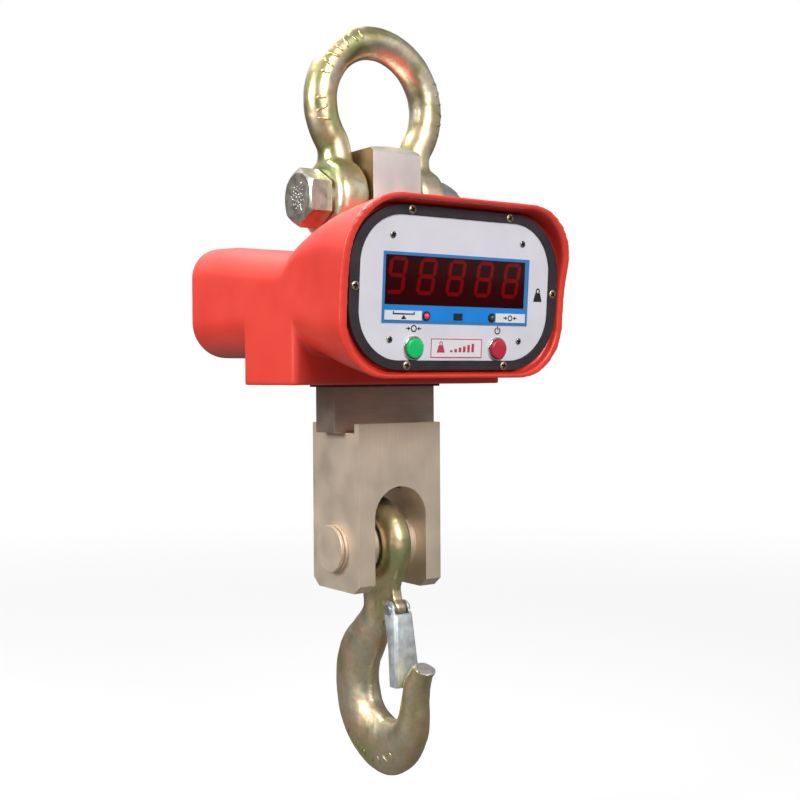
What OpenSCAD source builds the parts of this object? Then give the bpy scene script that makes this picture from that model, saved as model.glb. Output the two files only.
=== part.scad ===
/* [Shackle] */
// Diameter of the bow's round bar
bow_bar = 29; // [27:0.5:30]
// Clear width inside the bow
bow_inside = 83; // [80:1:88]
// Height from the shackle pin's axis to the seat at the top of the bow
bow_rise = 126.5; // [122:0.5:132]
// Radius of the reverse bend above each ear
leg_bend_r = 30; // [26:1:36]
// Clear gap between the ears
ear_gap = 52; // [51:0.5:54]
// Diameter of the ears
ear_d = 71; // [66:1:72]
// Thickness of each ear
ear_t = 31; // [29:0.5:32]
// Diameter of the shackle pin
shackle_pin_d = 32; // [28:1:34]
// Width of the pin's hexagon head across its flats
pin_head_af = 44; // [42:1:48]

/* [Load train] */
// Distance from the shackle pin's axis to the hook pin's axis
pin_spacing = 301; // [299:0.5:303]
// Width of the upper lug between the ears
lug_w = 50; // [46:0.5:50.5]
// Depth of the upper lug and of the load cell's clevis, front to back
lug_d = 70; // [66:1:72]
// Width of the load cell plate
cell_w = 106; // [100:1:110]
// Thickness of the load cell plate
cell_t = 30; // [28:1:34]
// Width of the lower block
block_w = 86; // [84:1:92]
// Depth of the lower block, front to back
block_d = 74; // [72:1:80]
// Height of the lower block
block_h = 145; // [143:1:147]
// Width of the arch that the hook's eye hangs in
arch_w = 54; // [50:1:56]
// Diameter of the hook pin
hook_pin_d = 36; // [34:1:38]

/* [Housing] */
// Wall thickness of the cast housing
wall = 4; // [3:0.5:6]
// Half of the barrel's width
barrel_half_w = 109; // [106:1:110]
// Half of the hood's width at its rim
hood_half_w = 115.5; // [114:0.5:118]
// Rear end of the barrel, behind the load line
rear_y = 152; // [150:1:154]
// Front face of the column that the load cell passes through
column_front_y = -42; // [-44:1:-40]
// Rear face of the column
column_rear_y = 44; // [42:1:46]
// Depth of the housing's floor below the shackle pin's axis
floor_drop = 159; // [157:1:162]

/* [Display panel] */
// Depth of the panel's centre below the shackle pin's axis
panel_drop = 82.8; // [81:0.2:85]
// Distance of the panel's front face from the load line
panel_reach = 118.4; // [117:0.2:120]
// Forward lean of the panel, so that it reads from below
panel_lean = 4.25; // [3:0.25:5]
// Width of the white face plate
plate_w = 193; // [190:1:194]
// Height of the white face plate
plate_h = 114; // [112:1:115]
// Width of the rubber gasket round the plate
gasket_w = 212; // [210:1:213]
// Height of the rubber gasket round the plate
gasket_h = 129; // [127:0.5:129.5]
// Number of digits
digit_count = 5; // [5:1:5]
// Height of one digit's figure
digit_h = 29.5; // [28:0.5:30.5]
// Travel of the push buttons
button_travel = 2.5; // [1.5:0.5:3]

/* [Hook] */
// Radius of the bar that forms the hook's eye
eye_bar_r = 12.6; // [11.5:0.1:13]
// Wall thickness of the latch's pressed sheet
latch_sheet = 1.8; // [1.5:0.1:2]
// Diameter of the latch pin
latch_pin_d = 6; // [5:0.5:6.5]

/* [Hidden] */
$fn = 64;

pin_z = -bow_rise;
run_gap = 0.05;
eps = 0.01;

// Shackle, worked out from the bar, the bow and the ears
bow_r = (bow_inside + bow_bar) / 2;
bow_c = bow_rise + bow_bar / 2 - bow_r;
leg_x = (ear_gap + ear_t) / 2;
knee = acos((leg_x + leg_bend_r) / (bow_r + leg_bend_r));
knee_z = bow_c - (bow_r + leg_bend_r) * sin(knee);
ear_out = ear_gap / 2 + ear_t;
ear_round = 8;
head_t = 21;
head_face_t = 1.5;
nut_t = 22;
pin_tail = 9;
cotter_d = 4.5;
cotter_x = ear_out + nut_t + pin_tail / 2;
cotter_front = -19;
cotter_rear = 24;
cotter_eye_r = 4.6;

// Centre line of the bow's bar in the X-Z plane, from one ear over the top to the other: [x, z, slope]
bend_steps = 5;
crown_steps = 14;
bow_half = concat(
    [[leg_x, 12, 90], [leg_x, knee_z, 90]],
    [for (k = [1 : bend_steps])
        let (a = knee * k / bend_steps)
        [leg_x + leg_bend_r * (1 - cos(a)), knee_z + leg_bend_r * sin(a), 90 - a]
    ],
    [for (k = [1 : crown_steps])
        let (a = -knee + (90 + knee) * k / crown_steps)
        [bow_r * cos(a), bow_c + bow_r * sin(a), 90 + a]
    ]
);
bow_other = [for (i = [len(bow_half) - 2 : -1 : 0])
    [-bow_half[i][0], bow_half[i][1], 360 - bow_half[i][2]]
];
bow_line = concat(bow_half, bow_other);

// Load train, as heights above the shackle pin's axis
lug_top = 46;
lug_crown_r = 125;
lug_chamfer = 6.5;
lug_shoulder_z = -66;
lug_shoulder_w = 66;
lug_bottom = -112;
fork_z = -74;
lug_pin_z = -93;
lug_pin_d = 28;
cell_top = -76;
block_top = block_h - pin_spacing - 36.5;
channel_depth = 8;
channel_wall = 7;
spacer_d = 47;
cell_bottom = block_top - channel_depth;
arch_top = -247;
bolt_d = 30;
bolt_head_d = 45;
bolt_head_h = 24;
gauge_z = -136;
gauge_d = 34;
gauge_pocket = 8;
gauge_cover_t = 2;
kerf = 4;
kerf_end_d = 10;
frame_z = lug_shoulder_z;
frame_t = 5;
frame_w = 150;
frame_d = 64;
frame_screw_d = 6;
frame_head_d = 10;
lug_screw_d = 5;
lug_screw_x = 29;
lug_screw_depth = 7;
boss_d = 14;
boss_at = [64, 22];
seal_w = 62;
seal_d = 82;
seal_h = 14;
seal_z = -57;
neck_w = 118;
neck_d = 42;
cable_at = [40, -122];
cable_d = 5;
gland_d = 10;
gland_t = 10;
cable_length = 59.8;

// Housing stations: [y, half width, top, bottom, upper corner radius, lower corner radius]
top_rear = -31;
barrel_bottom = -134.5;
barrel_round = 28;
barrel_round_low = 33;
rear_edge = 14;
hood_y = -140;
lip = 3.2;
lip_start = -70;
stations = [for (a = [0 : 22.5 : 90]) [
    rear_y - rear_edge * (1 - sin(a)),
    barrel_half_w - rear_edge * (1 - cos(a)),
    top_rear - 1 - rear_edge * (1 - cos(a)),
    barrel_bottom + rear_edge * (1 - cos(a)),
    barrel_round - rear_edge * 0.3 * (1 - cos(a)),
    barrel_round_low - rear_edge * 0.3 * (1 - cos(a))
]];
flare = [
    [100, barrel_half_w, -34, -134.5, 28, 33],
    [60, barrel_half_w, -39.5, -134.5, 28, 33],
    [10, barrel_half_w, -46.5, -134.5, 26, 33],
    [-18, barrel_half_w, -50, -134.5, 23, 33],
    [-26, barrel_half_w, -48, -134.5, 21, 33],
    [-35, barrel_half_w, -43.2, -134.5, 20, 33],
    [-46, barrel_half_w, -37.5, -134.5, 21, 33],
    [-56.5, 109.3, -32.3, -137, 24, 34],
    [-69, 110, -26.8, -141, 28, 35.5],
    [-84, 111.3, -21.4, -145.5, 34, 38],
    [-100, 112.7, -17.3, -150, 40, 42],
    [-114, 114, -14.4, -154, 45, 46],
    [-127, 115, -12, -157, 48, 48],
    [hood_y, hood_half_w, -10.5, -159, 50, 50]
];
shell_path = concat([for (i = [len(stations) - 1 : -1 : 0]) stations[i]], flare);
rear_open_w = 154;
rear_open_h = 44;
rear_cover_w = 176;
rear_cover_h = 64;
rear_cover_t = 3;
rear_mid_z = -85;
rear_screw_at = [80, 26.5];
screw_d = 4;
battery_floor = barrel_bottom + wall;
socket_at = [52, -6];
socket_d = 16;
socket_bore = 11;
battery_half_w = 68;
battery_y = [46, 128];
battery_h = 48;
battery_top = battery_floor + battery_h;
strap_y = [76, 94];
strap_half_w = 76;
strap_t = 1.5;

// Display panel, in its own leaning frame: x right, y inward, z up
plate_t = 2;
gasket_front = -1.5;
gasket_back = 4;
seat_t = 5;
bezel = [149, 55.5];
bezel_t = 0.6;
window_x = [-72.4, 69.5];
window_z = [-13.1, 25.3];
window_t = 3;
window_front = -1;
strip_front = -0.9;
led_z = -21.6;
led_steady_x = -32;
led_tare_x = 35.3;
led_d = 5;
led_ring_d = 7.6;
led_ring_t = 0.8;
lamp_proud = 1.2;
digit_pitch = 29.2;
digit_first_x = -71.2;
digit_w = 17.2;
digit_slant = 9;
digit_top_z = 24.3;
segment_t = 3;
segment_gap = 0.5;
module_w = 28.2;
module_h = 37;
module_face = 2.4;
module_back = 10.5;
board_t = 1.6;
board_front = 11.5;
driver_front = 30;
button_x = 43;
button_z = -47.2;
button_d = 16;
button_proud = 4.6;
button_flange = 5.5;
ring_d = 19.6;
switch_clear_d = 23;
ring_proud = 2;
switch_depth = 16;
switch_d = 20;
spring_wire = 0.9;
spring_r = 5.4;
spring_turns = 4;
spring_front = button_flange + button_travel + 0.6;
spring_back = plate_t + switch_depth - 2;
spring_pitch = (spring_back - spring_front - spring_wire) / (spring_turns - 1);
label_at = [0.6, -47];
label_size = [52.4, 15.4];
plate_screw_x = 66.2;
plate_screw_z = 40.6;
gasket_screw_at = [[49.8, 61], [100.8, 0]];

// Hook, as [y, z] in its own plane with half height and half width of the section
hook_pin_z = -pin_spacing;
eye_r = hook_pin_d / 2 + run_gap + eye_bar_r;
hook_path = [
    [0, -332, 11, 11.5], [-2, -345, 12.5, 11.5], [-1, -358, 14.5, 12], [4, -371, 18, 13],
    [14, -386, 21.5, 14.5], [27, -402, 24.5, 15.5], [32.5, -425, 26, 16], [27, -450, 26.5, 16.5],
    [12.5, -467.5, 27, 16.5], [-12, -477.2, 26.5, 16], [-34.5, -471.8, 22.3, 15], [-49, -458.8, 17.6, 14],
    [-55, -443.5, 14.4, 13], [-57, -429, 12.6, 12], [-59.5, -416.5, 11.6, 11.4], [-65, -405.5, 10.2, 10.4],
    [-70, -400.5, 8.8, 9.4], [-75.5, -395, 8.8, 9.4]
];
tip_cut = [-70, -399];
tip_cut_lean = 22;
latch_y = -30.3;
latch_z = -354;
latch_boss_r = 8;
latch_boss_w = 10;
web_w = 18;
latch_seat_y = -48.1;
latch_top_half = 9.2;
latch_low_half = 13.4;
latch_low_z = -419;
latch_front_top = -41.5;
latch_front_low = -47.6;
latch_front_z = latch_z - 5;
latch_taper = atan((latch_low_half - latch_top_half) / (latch_z - latch_low_z));
latch_head_d = latch_pin_d + 3;
coil_wire = 1;
hook_steps = 2;
hook_curve = concat(
    [for (i = [0 : len(hook_path) - 2], k = [0 : hook_steps - 1]) spline(hook_path, i, k / hook_steps)],
    [hook_path[len(hook_path) - 1]]
);

// Places its children in the frame of the shackle pin's axis
module at_pin() translate([0, 0, pin_z]) children();

// Places its children in the display panel's leaning frame
module on_panel() at_pin() translate([0, -panel_reach, -panel_drop]) rotate([panel_lean, 0, 0]) children();

// Extrudes a panel outline from depth y0 to depth y1 behind the plate's face
module panel_layer(y0, y1) translate([0, y1, 0]) rotate([90, 0, 0]) linear_extrude(y1 - y0) children();

// A box from its two corners
module span(a, b) translate(a) cube(b - a);

module round_rect(w, h, r) {
    square([w - 2 * r, h], center = true);
    square([w, h - 2 * r], center = true);
    for (x = [-1, 1], z = [-1, 1]) translate([x * (w / 2 - r), z * (h / 2 - r)]) circle(r);
}

// A cylinder along X from x0 to x1
module rod_x(x0, x1, d) translate([x0, 0, 0]) rotate([0, 90, 0]) cylinder(d = d, h = x1 - x0);

// A cylinder along Y from y0 to y1
module rod_y(y0, y1, d) translate([0, y1, 0]) rotate([90, 0, 0]) cylinder(d = d, h = y1 - y0);

// A hexagon along X with its corners up and down, and a turned chamfer at the far end
module hex_x(af, t) {
    corner = af / cos(30);
    intersection() {
        rotate([0, 90, 0]) cylinder(d = corner, h = t, $fn = 6);
        rotate([0, 90, 0]) union() {
            cylinder(d = corner + 2, h = t - 3.2);
            translate([0, 0, t - 3.2]) cylinder(d1 = corner + 2, d2 = af * 0.93, h = 3.2);
        }
    }
}

// ---- Shackle ----

// Round section of the bar square to the centre line at point p
function bar_ring(p) = [for (a = [0 : 11.25 : 359])
    let (across = bow_bar / 2 * cos(a))
    [p[0] + across * sin(p[2]), bow_bar / 2 * sin(a), p[1] - across * cos(p[2])]
];

module ear() {
    t = ear_t;
    r = ear_d / 2;
    rotate([0, 90, 0]) rotate_extrude() {
        square([r - ear_round, t]);
        translate([0, ear_round]) square([r, t - 2 * ear_round]);
        translate([r - ear_round, ear_round]) circle(ear_round, $fn = 24);
        translate([r - ear_round, t - ear_round]) circle(ear_round, $fn = 24);
    }
}

module shackle_bow() color("darkkhaki") at_pin() difference() {
    union() {
        loft([for (p = bow_line) bar_ring(p)]);
        for (side = [0, 1]) mirror([side, 0, 0]) translate([ear_gap / 2, 0, 0]) ear();
    }
    rod_x(-ear_out - 1, ear_out + 1, shackle_pin_d + 2 * run_gap);
}

module shackle_pin() color("silver") at_pin() difference() {
    union() {
        rod_x(-ear_out, ear_out + nut_t + pin_tail, shackle_pin_d);
        rod_x(-ear_out - head_face_t, -ear_out, pin_head_af - 3);
        translate([-ear_out - head_face_t, 0, 0]) mirror([1, 0, 0]) hex_x(pin_head_af, head_t);
    }
    translate([cotter_x, 0, 0]) rod_y(-30, 30, cotter_d);
}

module shackle_nut() color("silver") at_pin() translate([ear_out, 0, 0]) difference() {
    hex_x(pin_head_af, nut_t);
    rod_x(-1, nut_t + 1, shackle_pin_d + 2 * run_gap);
}

module shackle_cotter() color("gainsboro") at_pin() translate([cotter_x, 0, 0]) {
    rod_y(cotter_front, cotter_rear, cotter_d);
    translate([0, cotter_front - 3.5, 0]) rotate([0, 90, 0])
        rotate_extrude() translate([cotter_eye_r, 0]) circle(d = cotter_d * 0.6);
}

// ---- Load train ----

// The lug's turned crown: a large cylinder about Y, with chamfered front and rear edges
module lug_top_trim() intersection() {
    translate([0, 0, lug_top - lug_crown_r]) rod_y(-60, 60, 2 * lug_crown_r, $fn = 128);
    rotate([90, 0, 90]) translate([0, 0, -60]) linear_extrude(120) polygon([
        [-60, -200], [60, -200], [60, lug_top - 3 - 28],
        [lug_d / 2 - lug_chamfer, lug_top], [lug_chamfer - lug_d / 2, lug_top], [-60, lug_top - 3 - 28]
    ]);
}

module upper_lug() color("silver") at_pin() difference() {
    intersection() {
        union() {
            span([-lug_w / 2, -lug_d / 2, lug_shoulder_z - 1], [lug_w / 2, lug_d / 2, lug_top]);
            translate([-lug_shoulder_w / 2, -lug_d / 2, lug_bottom])
                cube([lug_shoulder_w, lug_d, lug_shoulder_z - lug_bottom]);
        }
        lug_top_trim();
    }
    rod_x(-60, 60, shackle_pin_d + 2 * run_gap);
    span([-60, -cell_t / 2, lug_bottom - 1], [60, cell_t / 2, fork_z]);
    translate([0, 0, lug_pin_z]) rod_y(-60, 60, lug_pin_d);
    lug_screw_places() translate([0, 0, -lug_screw_depth])
        cylinder(d = lug_screw_d, h = lug_screw_depth + 1);
}

// The two screws that hold the mount frame down on the lug's shoulders
module lug_screw_places() for (side = [-1, 1]) translate([side * lug_screw_x, 0, frame_z]) children();

// The four screws that hold the mount frame up to the housing's bosses
module boss_places() for (x = [-1, 1], y = [-1, 1])
    translate([x * boss_at.x, y * boss_at.y, frame_z]) children();

module lug_pin() color("silver") at_pin() translate([0, 0, lug_pin_z]) {
    rod_y(-lug_d / 2, lug_d / 2, lug_pin_d);
    translate([0, -lug_d / 2, 0]) rod_y(-3, 0, lug_pin_d + 8);
    translate([0, lug_d / 2, 0]) difference() {
        rod_y(0, 3, lug_pin_d + 8);
        rod_y(1.5, 4, lug_pin_d - 8);
    }
}

// A saw cut in from one side of the plate, ending in a drilled hole
module cell_kerf(side, z) {
    inner = side * (gauge_d / 2 - 6);
    far = side * (cell_w / 2 + 1);
    span([min(-inner, far), -cell_t, z - kerf / 2], [max(-inner, far), cell_t, z + kerf / 2]);
    translate([-inner, 0, z]) rod_y(-cell_t, cell_t, kerf_end_d);
}

module load_cell() color("dimgray") at_pin() difference() {
    span([-cell_w / 2, -cell_t / 2, cell_bottom], [cell_w / 2, cell_t / 2, cell_top]);
    translate([0, 0, lug_pin_z]) rod_y(-cell_t, cell_t, lug_pin_d);
    cell_kerf(1, gauge_z + 24);
    cell_kerf(-1, gauge_z - 18);
    for (side = [-1, 1]) translate([0, side * (cell_t / 2 - gauge_pocket / 2), gauge_z])
        rod_y(-gauge_pocket / 2 - eps, gauge_pocket / 2 + eps, gauge_d - 8);
    for (side = [-1, 1]) translate([0, side * cell_t / 2, gauge_z])
        rod_y(-gauge_cover_t, gauge_cover_t, gauge_d - 4);
    translate([0, 0, cell_bottom - 1]) cylinder(d = bolt_d, h = 37);
}

module gauge_covers() color("gainsboro") at_pin() translate([0, 0, gauge_z])
    for (side = [0, 1]) mirror([0, side, 0]) rod_y(cell_t / 2 - gauge_cover_t, cell_t / 2, gauge_d - 4);

// The load cell's lead and its hexagonal gland; the lead ends at the driver board's connector
module cell_cable() color("black") at_pin() translate([cable_at[0], -cell_t / 2, cable_at[1]]) {
    rod_y(-cable_length, -gland_t, cable_d);
    rotate([90, 0, 0]) cylinder(d = gland_d, h = gland_t, $fn = 6);
}

module mount_frame() color("slategray") at_pin() difference() {
    span([-frame_w / 2, -frame_d / 2 - 8, frame_z], [frame_w / 2, frame_d / 2 + 8, frame_z + frame_t]);
    span([-lug_w / 2, -lug_d / 2, frame_z - 1], [lug_w / 2, lug_d / 2, frame_z + frame_t + 1]);
    boss_places() translate([0, 0, -1]) cylinder(d = frame_screw_d, h = frame_t + 2);
    lug_screw_places() translate([0, 0, -1]) cylinder(d = lug_screw_d, h = frame_t + 2);
}

module frame_screws() color("silver") at_pin() {
    boss_places() {
        translate([0, 0, -4]) cylinder(d = frame_head_d, h = 4);
        cylinder(d = frame_screw_d, h = frame_t + 6);
    }
    lug_screw_places() {
        translate([0, 0, frame_t]) cylinder(d = 7.5, h = 3.5);
        translate([0, 0, -lug_screw_depth]) cylinder(d = lug_screw_d, h = frame_t + lug_screw_depth);
    }
}

module lower_block() color("silver") at_pin() difference() {
    span([-block_w / 2, -block_d / 2, block_top - block_h], [block_w / 2, block_d / 2, block_top]);
    // channel that the load cell stands in, open in front of it
    span([-60, channel_wall - block_d / 2, cell_bottom], [60, cell_t / 2, block_top + 1]);
    // arch for the hook's eye
    translate([0, 0, arch_top - arch_w / 2]) rod_y(-60, 60, arch_w);
    span([-arch_w / 2, -60, block_top - block_h - 1], [arch_w / 2, 60, arch_top - arch_w / 2]);
    // hook pin bore
    translate([0, 0, hook_pin_z]) rod_x(-60, 60, hook_pin_d + 2 * run_gap);
    // hanger bolt bore and counterbore
    translate([0, 0, arch_top - 4]) cylinder(d = bolt_head_d + 1, h = bolt_head_h + 5);
    translate([0, 0, arch_top]) cylinder(d = bolt_d, h = 80);
    // chamfered bottom edges, front and back
    for (side = [-1, 1]) translate([0, side * block_d / 2, block_top - block_h]) rotate([38 * side, 0, 0])
        cube([120, 30, 11.3], center = true);
}

module hanger_bolt() color("dimgray") at_pin() difference() {
    union() {
        translate([0, 0, arch_top + 1]) cylinder(d = bolt_head_d, h = bolt_head_h);
        translate([0, 0, arch_top + 1]) cylinder(d = bolt_d, h = cell_bottom - arch_top + 30);
    }
    translate([0, 0, arch_top]) cylinder(d = 25, h = 15, $fn = 6);
}

module hook_pin() color("silver") at_pin() translate([0, 0, hook_pin_z]) difference() {
    union() {
        rod_x(-block_w / 2, block_w / 2 + 7, hook_pin_d);
        rod_x(-block_w / 2 - 7.5, -block_w / 2, hook_pin_d + 4.5);
    }
    // groove round the head
    difference() {
        rod_x(-block_w / 2 - 4.4, -block_w / 2 - 3, hook_pin_d + 8);
        rod_x(-block_w / 2 - 5, -block_w / 2 - 2, hook_pin_d);
    }
    // circlip groove
    difference() {
        rod_x(block_w / 2 + 1, block_w / 2 + 3, hook_pin_d + 1);
        rod_x(block_w / 2, block_w / 2 + 4, hook_pin_d - 3);
    }
}

module hook_pin_circlip() color("dimgray") at_pin() translate([0, 0, hook_pin_z]) difference() {
    rod_x(block_w / 2 + 1, block_w / 2 + 3, hook_pin_d + 9);
    rod_x(block_w / 2, block_w / 2 + 4, hook_pin_d - 3);
    span([block_w / 2, -4, 0], [block_w / 2 + 4, 4, 40]);
}

// Spacer rings that keep the hook's eye in the middle of the arch
module hook_spacers() color("silver") at_pin() translate([0, 0, hook_pin_z])
    for (side = [0, 1]) mirror([side, 0, 0]) difference() {
        rod_x(eye_bar_r + 0.6, arch_w / 2 - run_gap, spacer_d);
        rod_x(0, arch_w, hook_pin_d + 2 * run_gap);
    }

// ---- Housing ----

// One closed ring of the housing at a station, shrunk by the given inset
function ring(s, inset) = [
    for (q = [0 : 3], k = [0 : 6])
        let (
            a = q * 90 + k * 15,
            r = max((q < 2 ? s[4] : s[5]) - inset, 3),
            w = s[1] - inset - r,
            top = s[2] - inset - r,
            low = s[3] + inset + r,
            cx = (q == 0 || q == 3) ? w : -w,
            cz = (q < 2) ? top : low
        ) [cx + r * cos(a), s[0], cz + r * sin(a)]
];

// A closed skin through a list of equal rings
module loft(rings) {
    n = len(rings[0]);
    m = len(rings);
    faces = concat(
        [[for (i = [0 : n - 1]) i]],
        [[for (i = [n - 1 : -1 : 0]) (m - 1) * n + i]],
        [for (j = [0 : m - 2], i = [0 : n - 1]) each [
            [j * n + i, (j + 1) * n + (i + 1) % n, j * n + (i + 1) % n],
            [j * n + i, (j + 1) * n + i, (j + 1) * n + (i + 1) % n]
        ]]
    );
    polyhedron([for (r = rings) each r], faces);
}

module shell_outer() loft([for (s = shell_path) ring(s, 0)]);

// Station of the cavity: the side walls thicken into a lip where they near the rim
function inner_station(i) = let (
    s = shell_path[i],
    last = len(shell_path) - 1,
    y = i == last ? s[0] - 5 : s[0],
    thick = lip * max(0, min(1, (lip_start - s[0]) / 30))
) [min(y, rear_y - wall - i * eps), s[1] - thick, s[2], s[3], s[4], s[5]];

module shell_inner() loft([for (i = [0 : len(shell_path) - 1]) ring(inner_station(i), wall)]);

// The hood's front edge seen from the side: a visor at the top, nearly flush at the bottom
module rim_cut() rotate([90, 0, 90]) translate([0, 0, -150]) linear_extrude(300) polygon([
    [-200, 40], [-137.5, 40], [-137.5, -11], [-131, -40], [-126, -62], [-122, -80], [-119, -110],
    [-115.8, -160], [-115, -200], [-200, -200]
]);

module column_block(inset) translate([0, (column_front_y + column_rear_y) / 2, 0]) linear_extrude(100)
    round_rect(2 * barrel_half_w - 2 * inset, column_rear_y - column_front_y - 2 * inset, 5);

module housing_shell() color("tomato") difference() {
    at_pin() union() {
        difference() {
            union() {
                shell_outer();
                translate([0, 0, -floor_drop]) intersection() {
                    column_block(0);
                    span([-200, -100, 0], [200, 100, floor_drop - 80]);
                }
            }
            shell_inner();
            translate([0, 0, -floor_drop + wall]) intersection() {
                column_block(wall);
                span([-200, -100, -1], [200, 100, floor_drop - 90]);
            }
        }
        // ledge that the display panel seats on
        intersection() {
            translate([0, -panel_reach, -panel_drop]) rotate([panel_lean, 0, 0])
                panel_layer(gasket_back, gasket_back + seat_t) difference() {
                    square([260, 200], center = true);
                    round_rect(184, 106, 30);
                    button_places() circle(d = switch_clear_d);
                    gasket_screw_places() circle(d = screw_d, $fn = 16);
                }
            shell_outer();
        }
        // bosses that hang from the roof and take the mount frame's screws
        intersection() {
            boss_places() translate([0, 0, frame_t]) cylinder(d = boss_d, h = 40);
            shell_outer();
        }
    }
    at_pin() {
        rim_cut();
        // lug opening in the roof
        translate([0, 0, -70]) linear_extrude(60) round_rect(seal_w, seal_d, 6);
        // neck opening in the floor
        translate([0, 0, -floor_drop - 1]) linear_extrude(wall + 2) round_rect(neck_w, neck_d, 8);
        // battery opening in the rear wall
        translate([0, rear_y + 1, rear_mid_z]) rotate([90, 0, 0]) linear_extrude(wall + 2)
            round_rect(rear_open_w, rear_open_h, 10);
        translate([0, rear_y + 1, rear_mid_z]) rotate([90, 0, 0]) linear_extrude(wall + 2)
            rear_screw_places() circle(d = screw_d, $fn = 16);
        boss_places() cylinder(d = frame_screw_d, h = frame_t + 6);
    }
}

module top_seal() color("#222222") at_pin() translate([0, 0, seal_z]) difference() {
    linear_extrude(seal_h) round_rect(seal_w, seal_d, 6);
    translate([0, 0, -1]) linear_extrude(seal_h + 2) square([lug_w, lug_d], center = true);
}

module bottom_seal() color("#222222") at_pin() translate([0, 0, -floor_drop - 2]) difference() {
    linear_extrude(wall + 4) round_rect(neck_w, neck_d, 8);
    translate([0, 0, -1]) linear_extrude(wall + 6) square([cell_w, cell_t], center = true);
}

// A layer on the rear face, from depth y0 to y1 behind the load line
module rear_layer(y0, y1) at_pin() translate([0, y1, rear_mid_z]) rotate([90, 0, 0])
    linear_extrude(y1 - y0) children();

module rear_screw_places() for (x = [-1, 0, 1], z = [-1, 1])
    translate([x * rear_screw_at.x, z * rear_screw_at.y]) children();

module rear_gasket() color("#222222") rear_layer(rear_y, rear_y + 1) difference() {
    round_rect(rear_cover_w, rear_cover_h, 14);
    round_rect(rear_open_w, rear_open_h, 10);
    rear_screw_places() circle(d = screw_d);
}

module rear_cover() color("tomato") rear_layer(rear_y + 1, rear_y + 1 + rear_cover_t) difference() {
    round_rect(rear_cover_w, rear_cover_h, 14);
    rear_screw_places() circle(d = screw_d);
    translate(socket_at) circle(d = socket_d);
}

module rear_screws() color("silver") {
    rear_layer(rear_y + 1 + rear_cover_t, rear_y + 3 + rear_cover_t) rear_screw_places() circle(d = 7);
    rear_layer(rear_y - 3, rear_y + 1 + rear_cover_t) rear_screw_places() circle(d = screw_d);
}

module charge_socket() color("silver") {
    rear_layer(rear_y - 14, rear_y + 6) translate(socket_at) difference() {
        circle(d = socket_d);
        circle(d = socket_bore);
    }
    rear_layer(rear_y + 1 + rear_cover_t, rear_y + 3 + rear_cover_t) translate(socket_at) difference() {
        circle(d = 20);
        circle(d = socket_d);
    }
    rear_layer(rear_y - 14, rear_y - 10) translate(socket_at) circle(d = socket_bore);
    rear_layer(rear_y - 10, rear_y + 2) translate(socket_at)
        for (a = [90, 210, 330]) rotate(a) translate([3, 0]) circle(d = 1.6);
}

module battery() color("dimgray") at_pin() {
    span([-battery_half_w, battery_y[0], battery_floor], [battery_half_w, battery_y[1], battery_top]);
    // terminal tabs
    for (x = [-58, 58]) span([x - 3, 60, battery_top], [x + 3, 61, battery_top + 6]);
}

module battery_strap() color("silver") at_pin() difference() {
    span([-strap_half_w, strap_y[0], battery_floor], [strap_half_w, strap_y[1], battery_top + strap_t]);
    // room for the battery
    span([-battery_half_w, strap_y[0] - 5, battery_floor - 1], [battery_half_w, strap_y[1] + 5, battery_top]);
    // the feet on both sides stay one sheet thick
    for (side = [0, 1]) mirror([side, 0, 0]) span(
        [battery_half_w + strap_t, strap_y[0] - 5, battery_floor + strap_t],
        [strap_half_w + 3, strap_y[1] + 5, battery_top + 10]
    );
}

// ---- Display panel ----

module panel_gasket() color("#2a2a30") on_panel() {
    panel_layer(gasket_front, plate_t) difference() {
        round_rect(gasket_w, gasket_h, 50);
        round_rect(plate_w + 0.4, plate_h + 0.4, 40.2);
        gasket_screw_places() circle(d = screw_d);
    }
    panel_layer(plate_t, gasket_back) difference() {
        round_rect(gasket_w, gasket_h, 50);
        round_rect(plate_w - 14, plate_h - 14, 33);
        button_places() circle(d = switch_clear_d);
        gasket_screw_places() circle(d = screw_d);
    }
}

module gasket_screw_places() for (p = gasket_screw_at, x = [-1, 1], z = p[1] == 0 ? [1] : [-1, 1])
    translate([x * p[0], z * p[1]]) children();

module plate_screw_places() for (x = [-1, 1], z = [-1, 1])
    translate([x * plate_screw_x, z * plate_screw_z]) children();

module gasket_screws() color("goldenrod") on_panel() {
    panel_layer(gasket_front - 1.8, gasket_front) gasket_screw_places() difference() {
        circle(d = 7);
        square([1, 5], center = true);
        square([5, 1], center = true);
    }
    panel_layer(gasket_front - 0.8, gasket_front) gasket_screw_places() circle(d = 7);
    panel_layer(gasket_front, gasket_back + 3) gasket_screw_places() circle(d = screw_d);
}

module button_places() for (x = [-1, 1]) translate([x * button_x, button_z]) children();

module window_outline() translate([window_x[0], window_z[0]])
    square([window_x[1] - window_x[0], window_z[1] - window_z[0]]);

module led_places() for (x = [led_steady_x, led_tare_x]) translate([x, led_z]) children();

module ir_outline() translate([0, led_z]) square([9, 5.5], center = true);

module face_plate() color("lavender") on_panel() panel_layer(0, plate_t) difference() {
    round_rect(plate_w, plate_h, 40);
    plate_screw_places() circle(d = 3);
    button_places() circle(d = button_d + 2);
    window_outline();
    led_places() circle(d = led_d);
    ir_outline();
}

module plate_screws() color("silver") on_panel() {
    panel_layer(-1.5, 0) plate_screw_places() difference() {
        circle(d = 5.6);
        square([0.8, 4], center = true);
        square([4, 0.8], center = true);
    }
    panel_layer(-0.6, 0) plate_screw_places() circle(d = 5.6);
    panel_layer(0, 8) plate_screw_places() circle(d = 3);
}

module display_bezel() color("steelblue") on_panel() panel_layer(-bezel_t, 0) difference() {
    translate([-bezel.x / 2, -27.7]) square(bezel);
    window_outline();
    led_places() circle(d = led_d);
    ir_outline();
}

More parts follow.
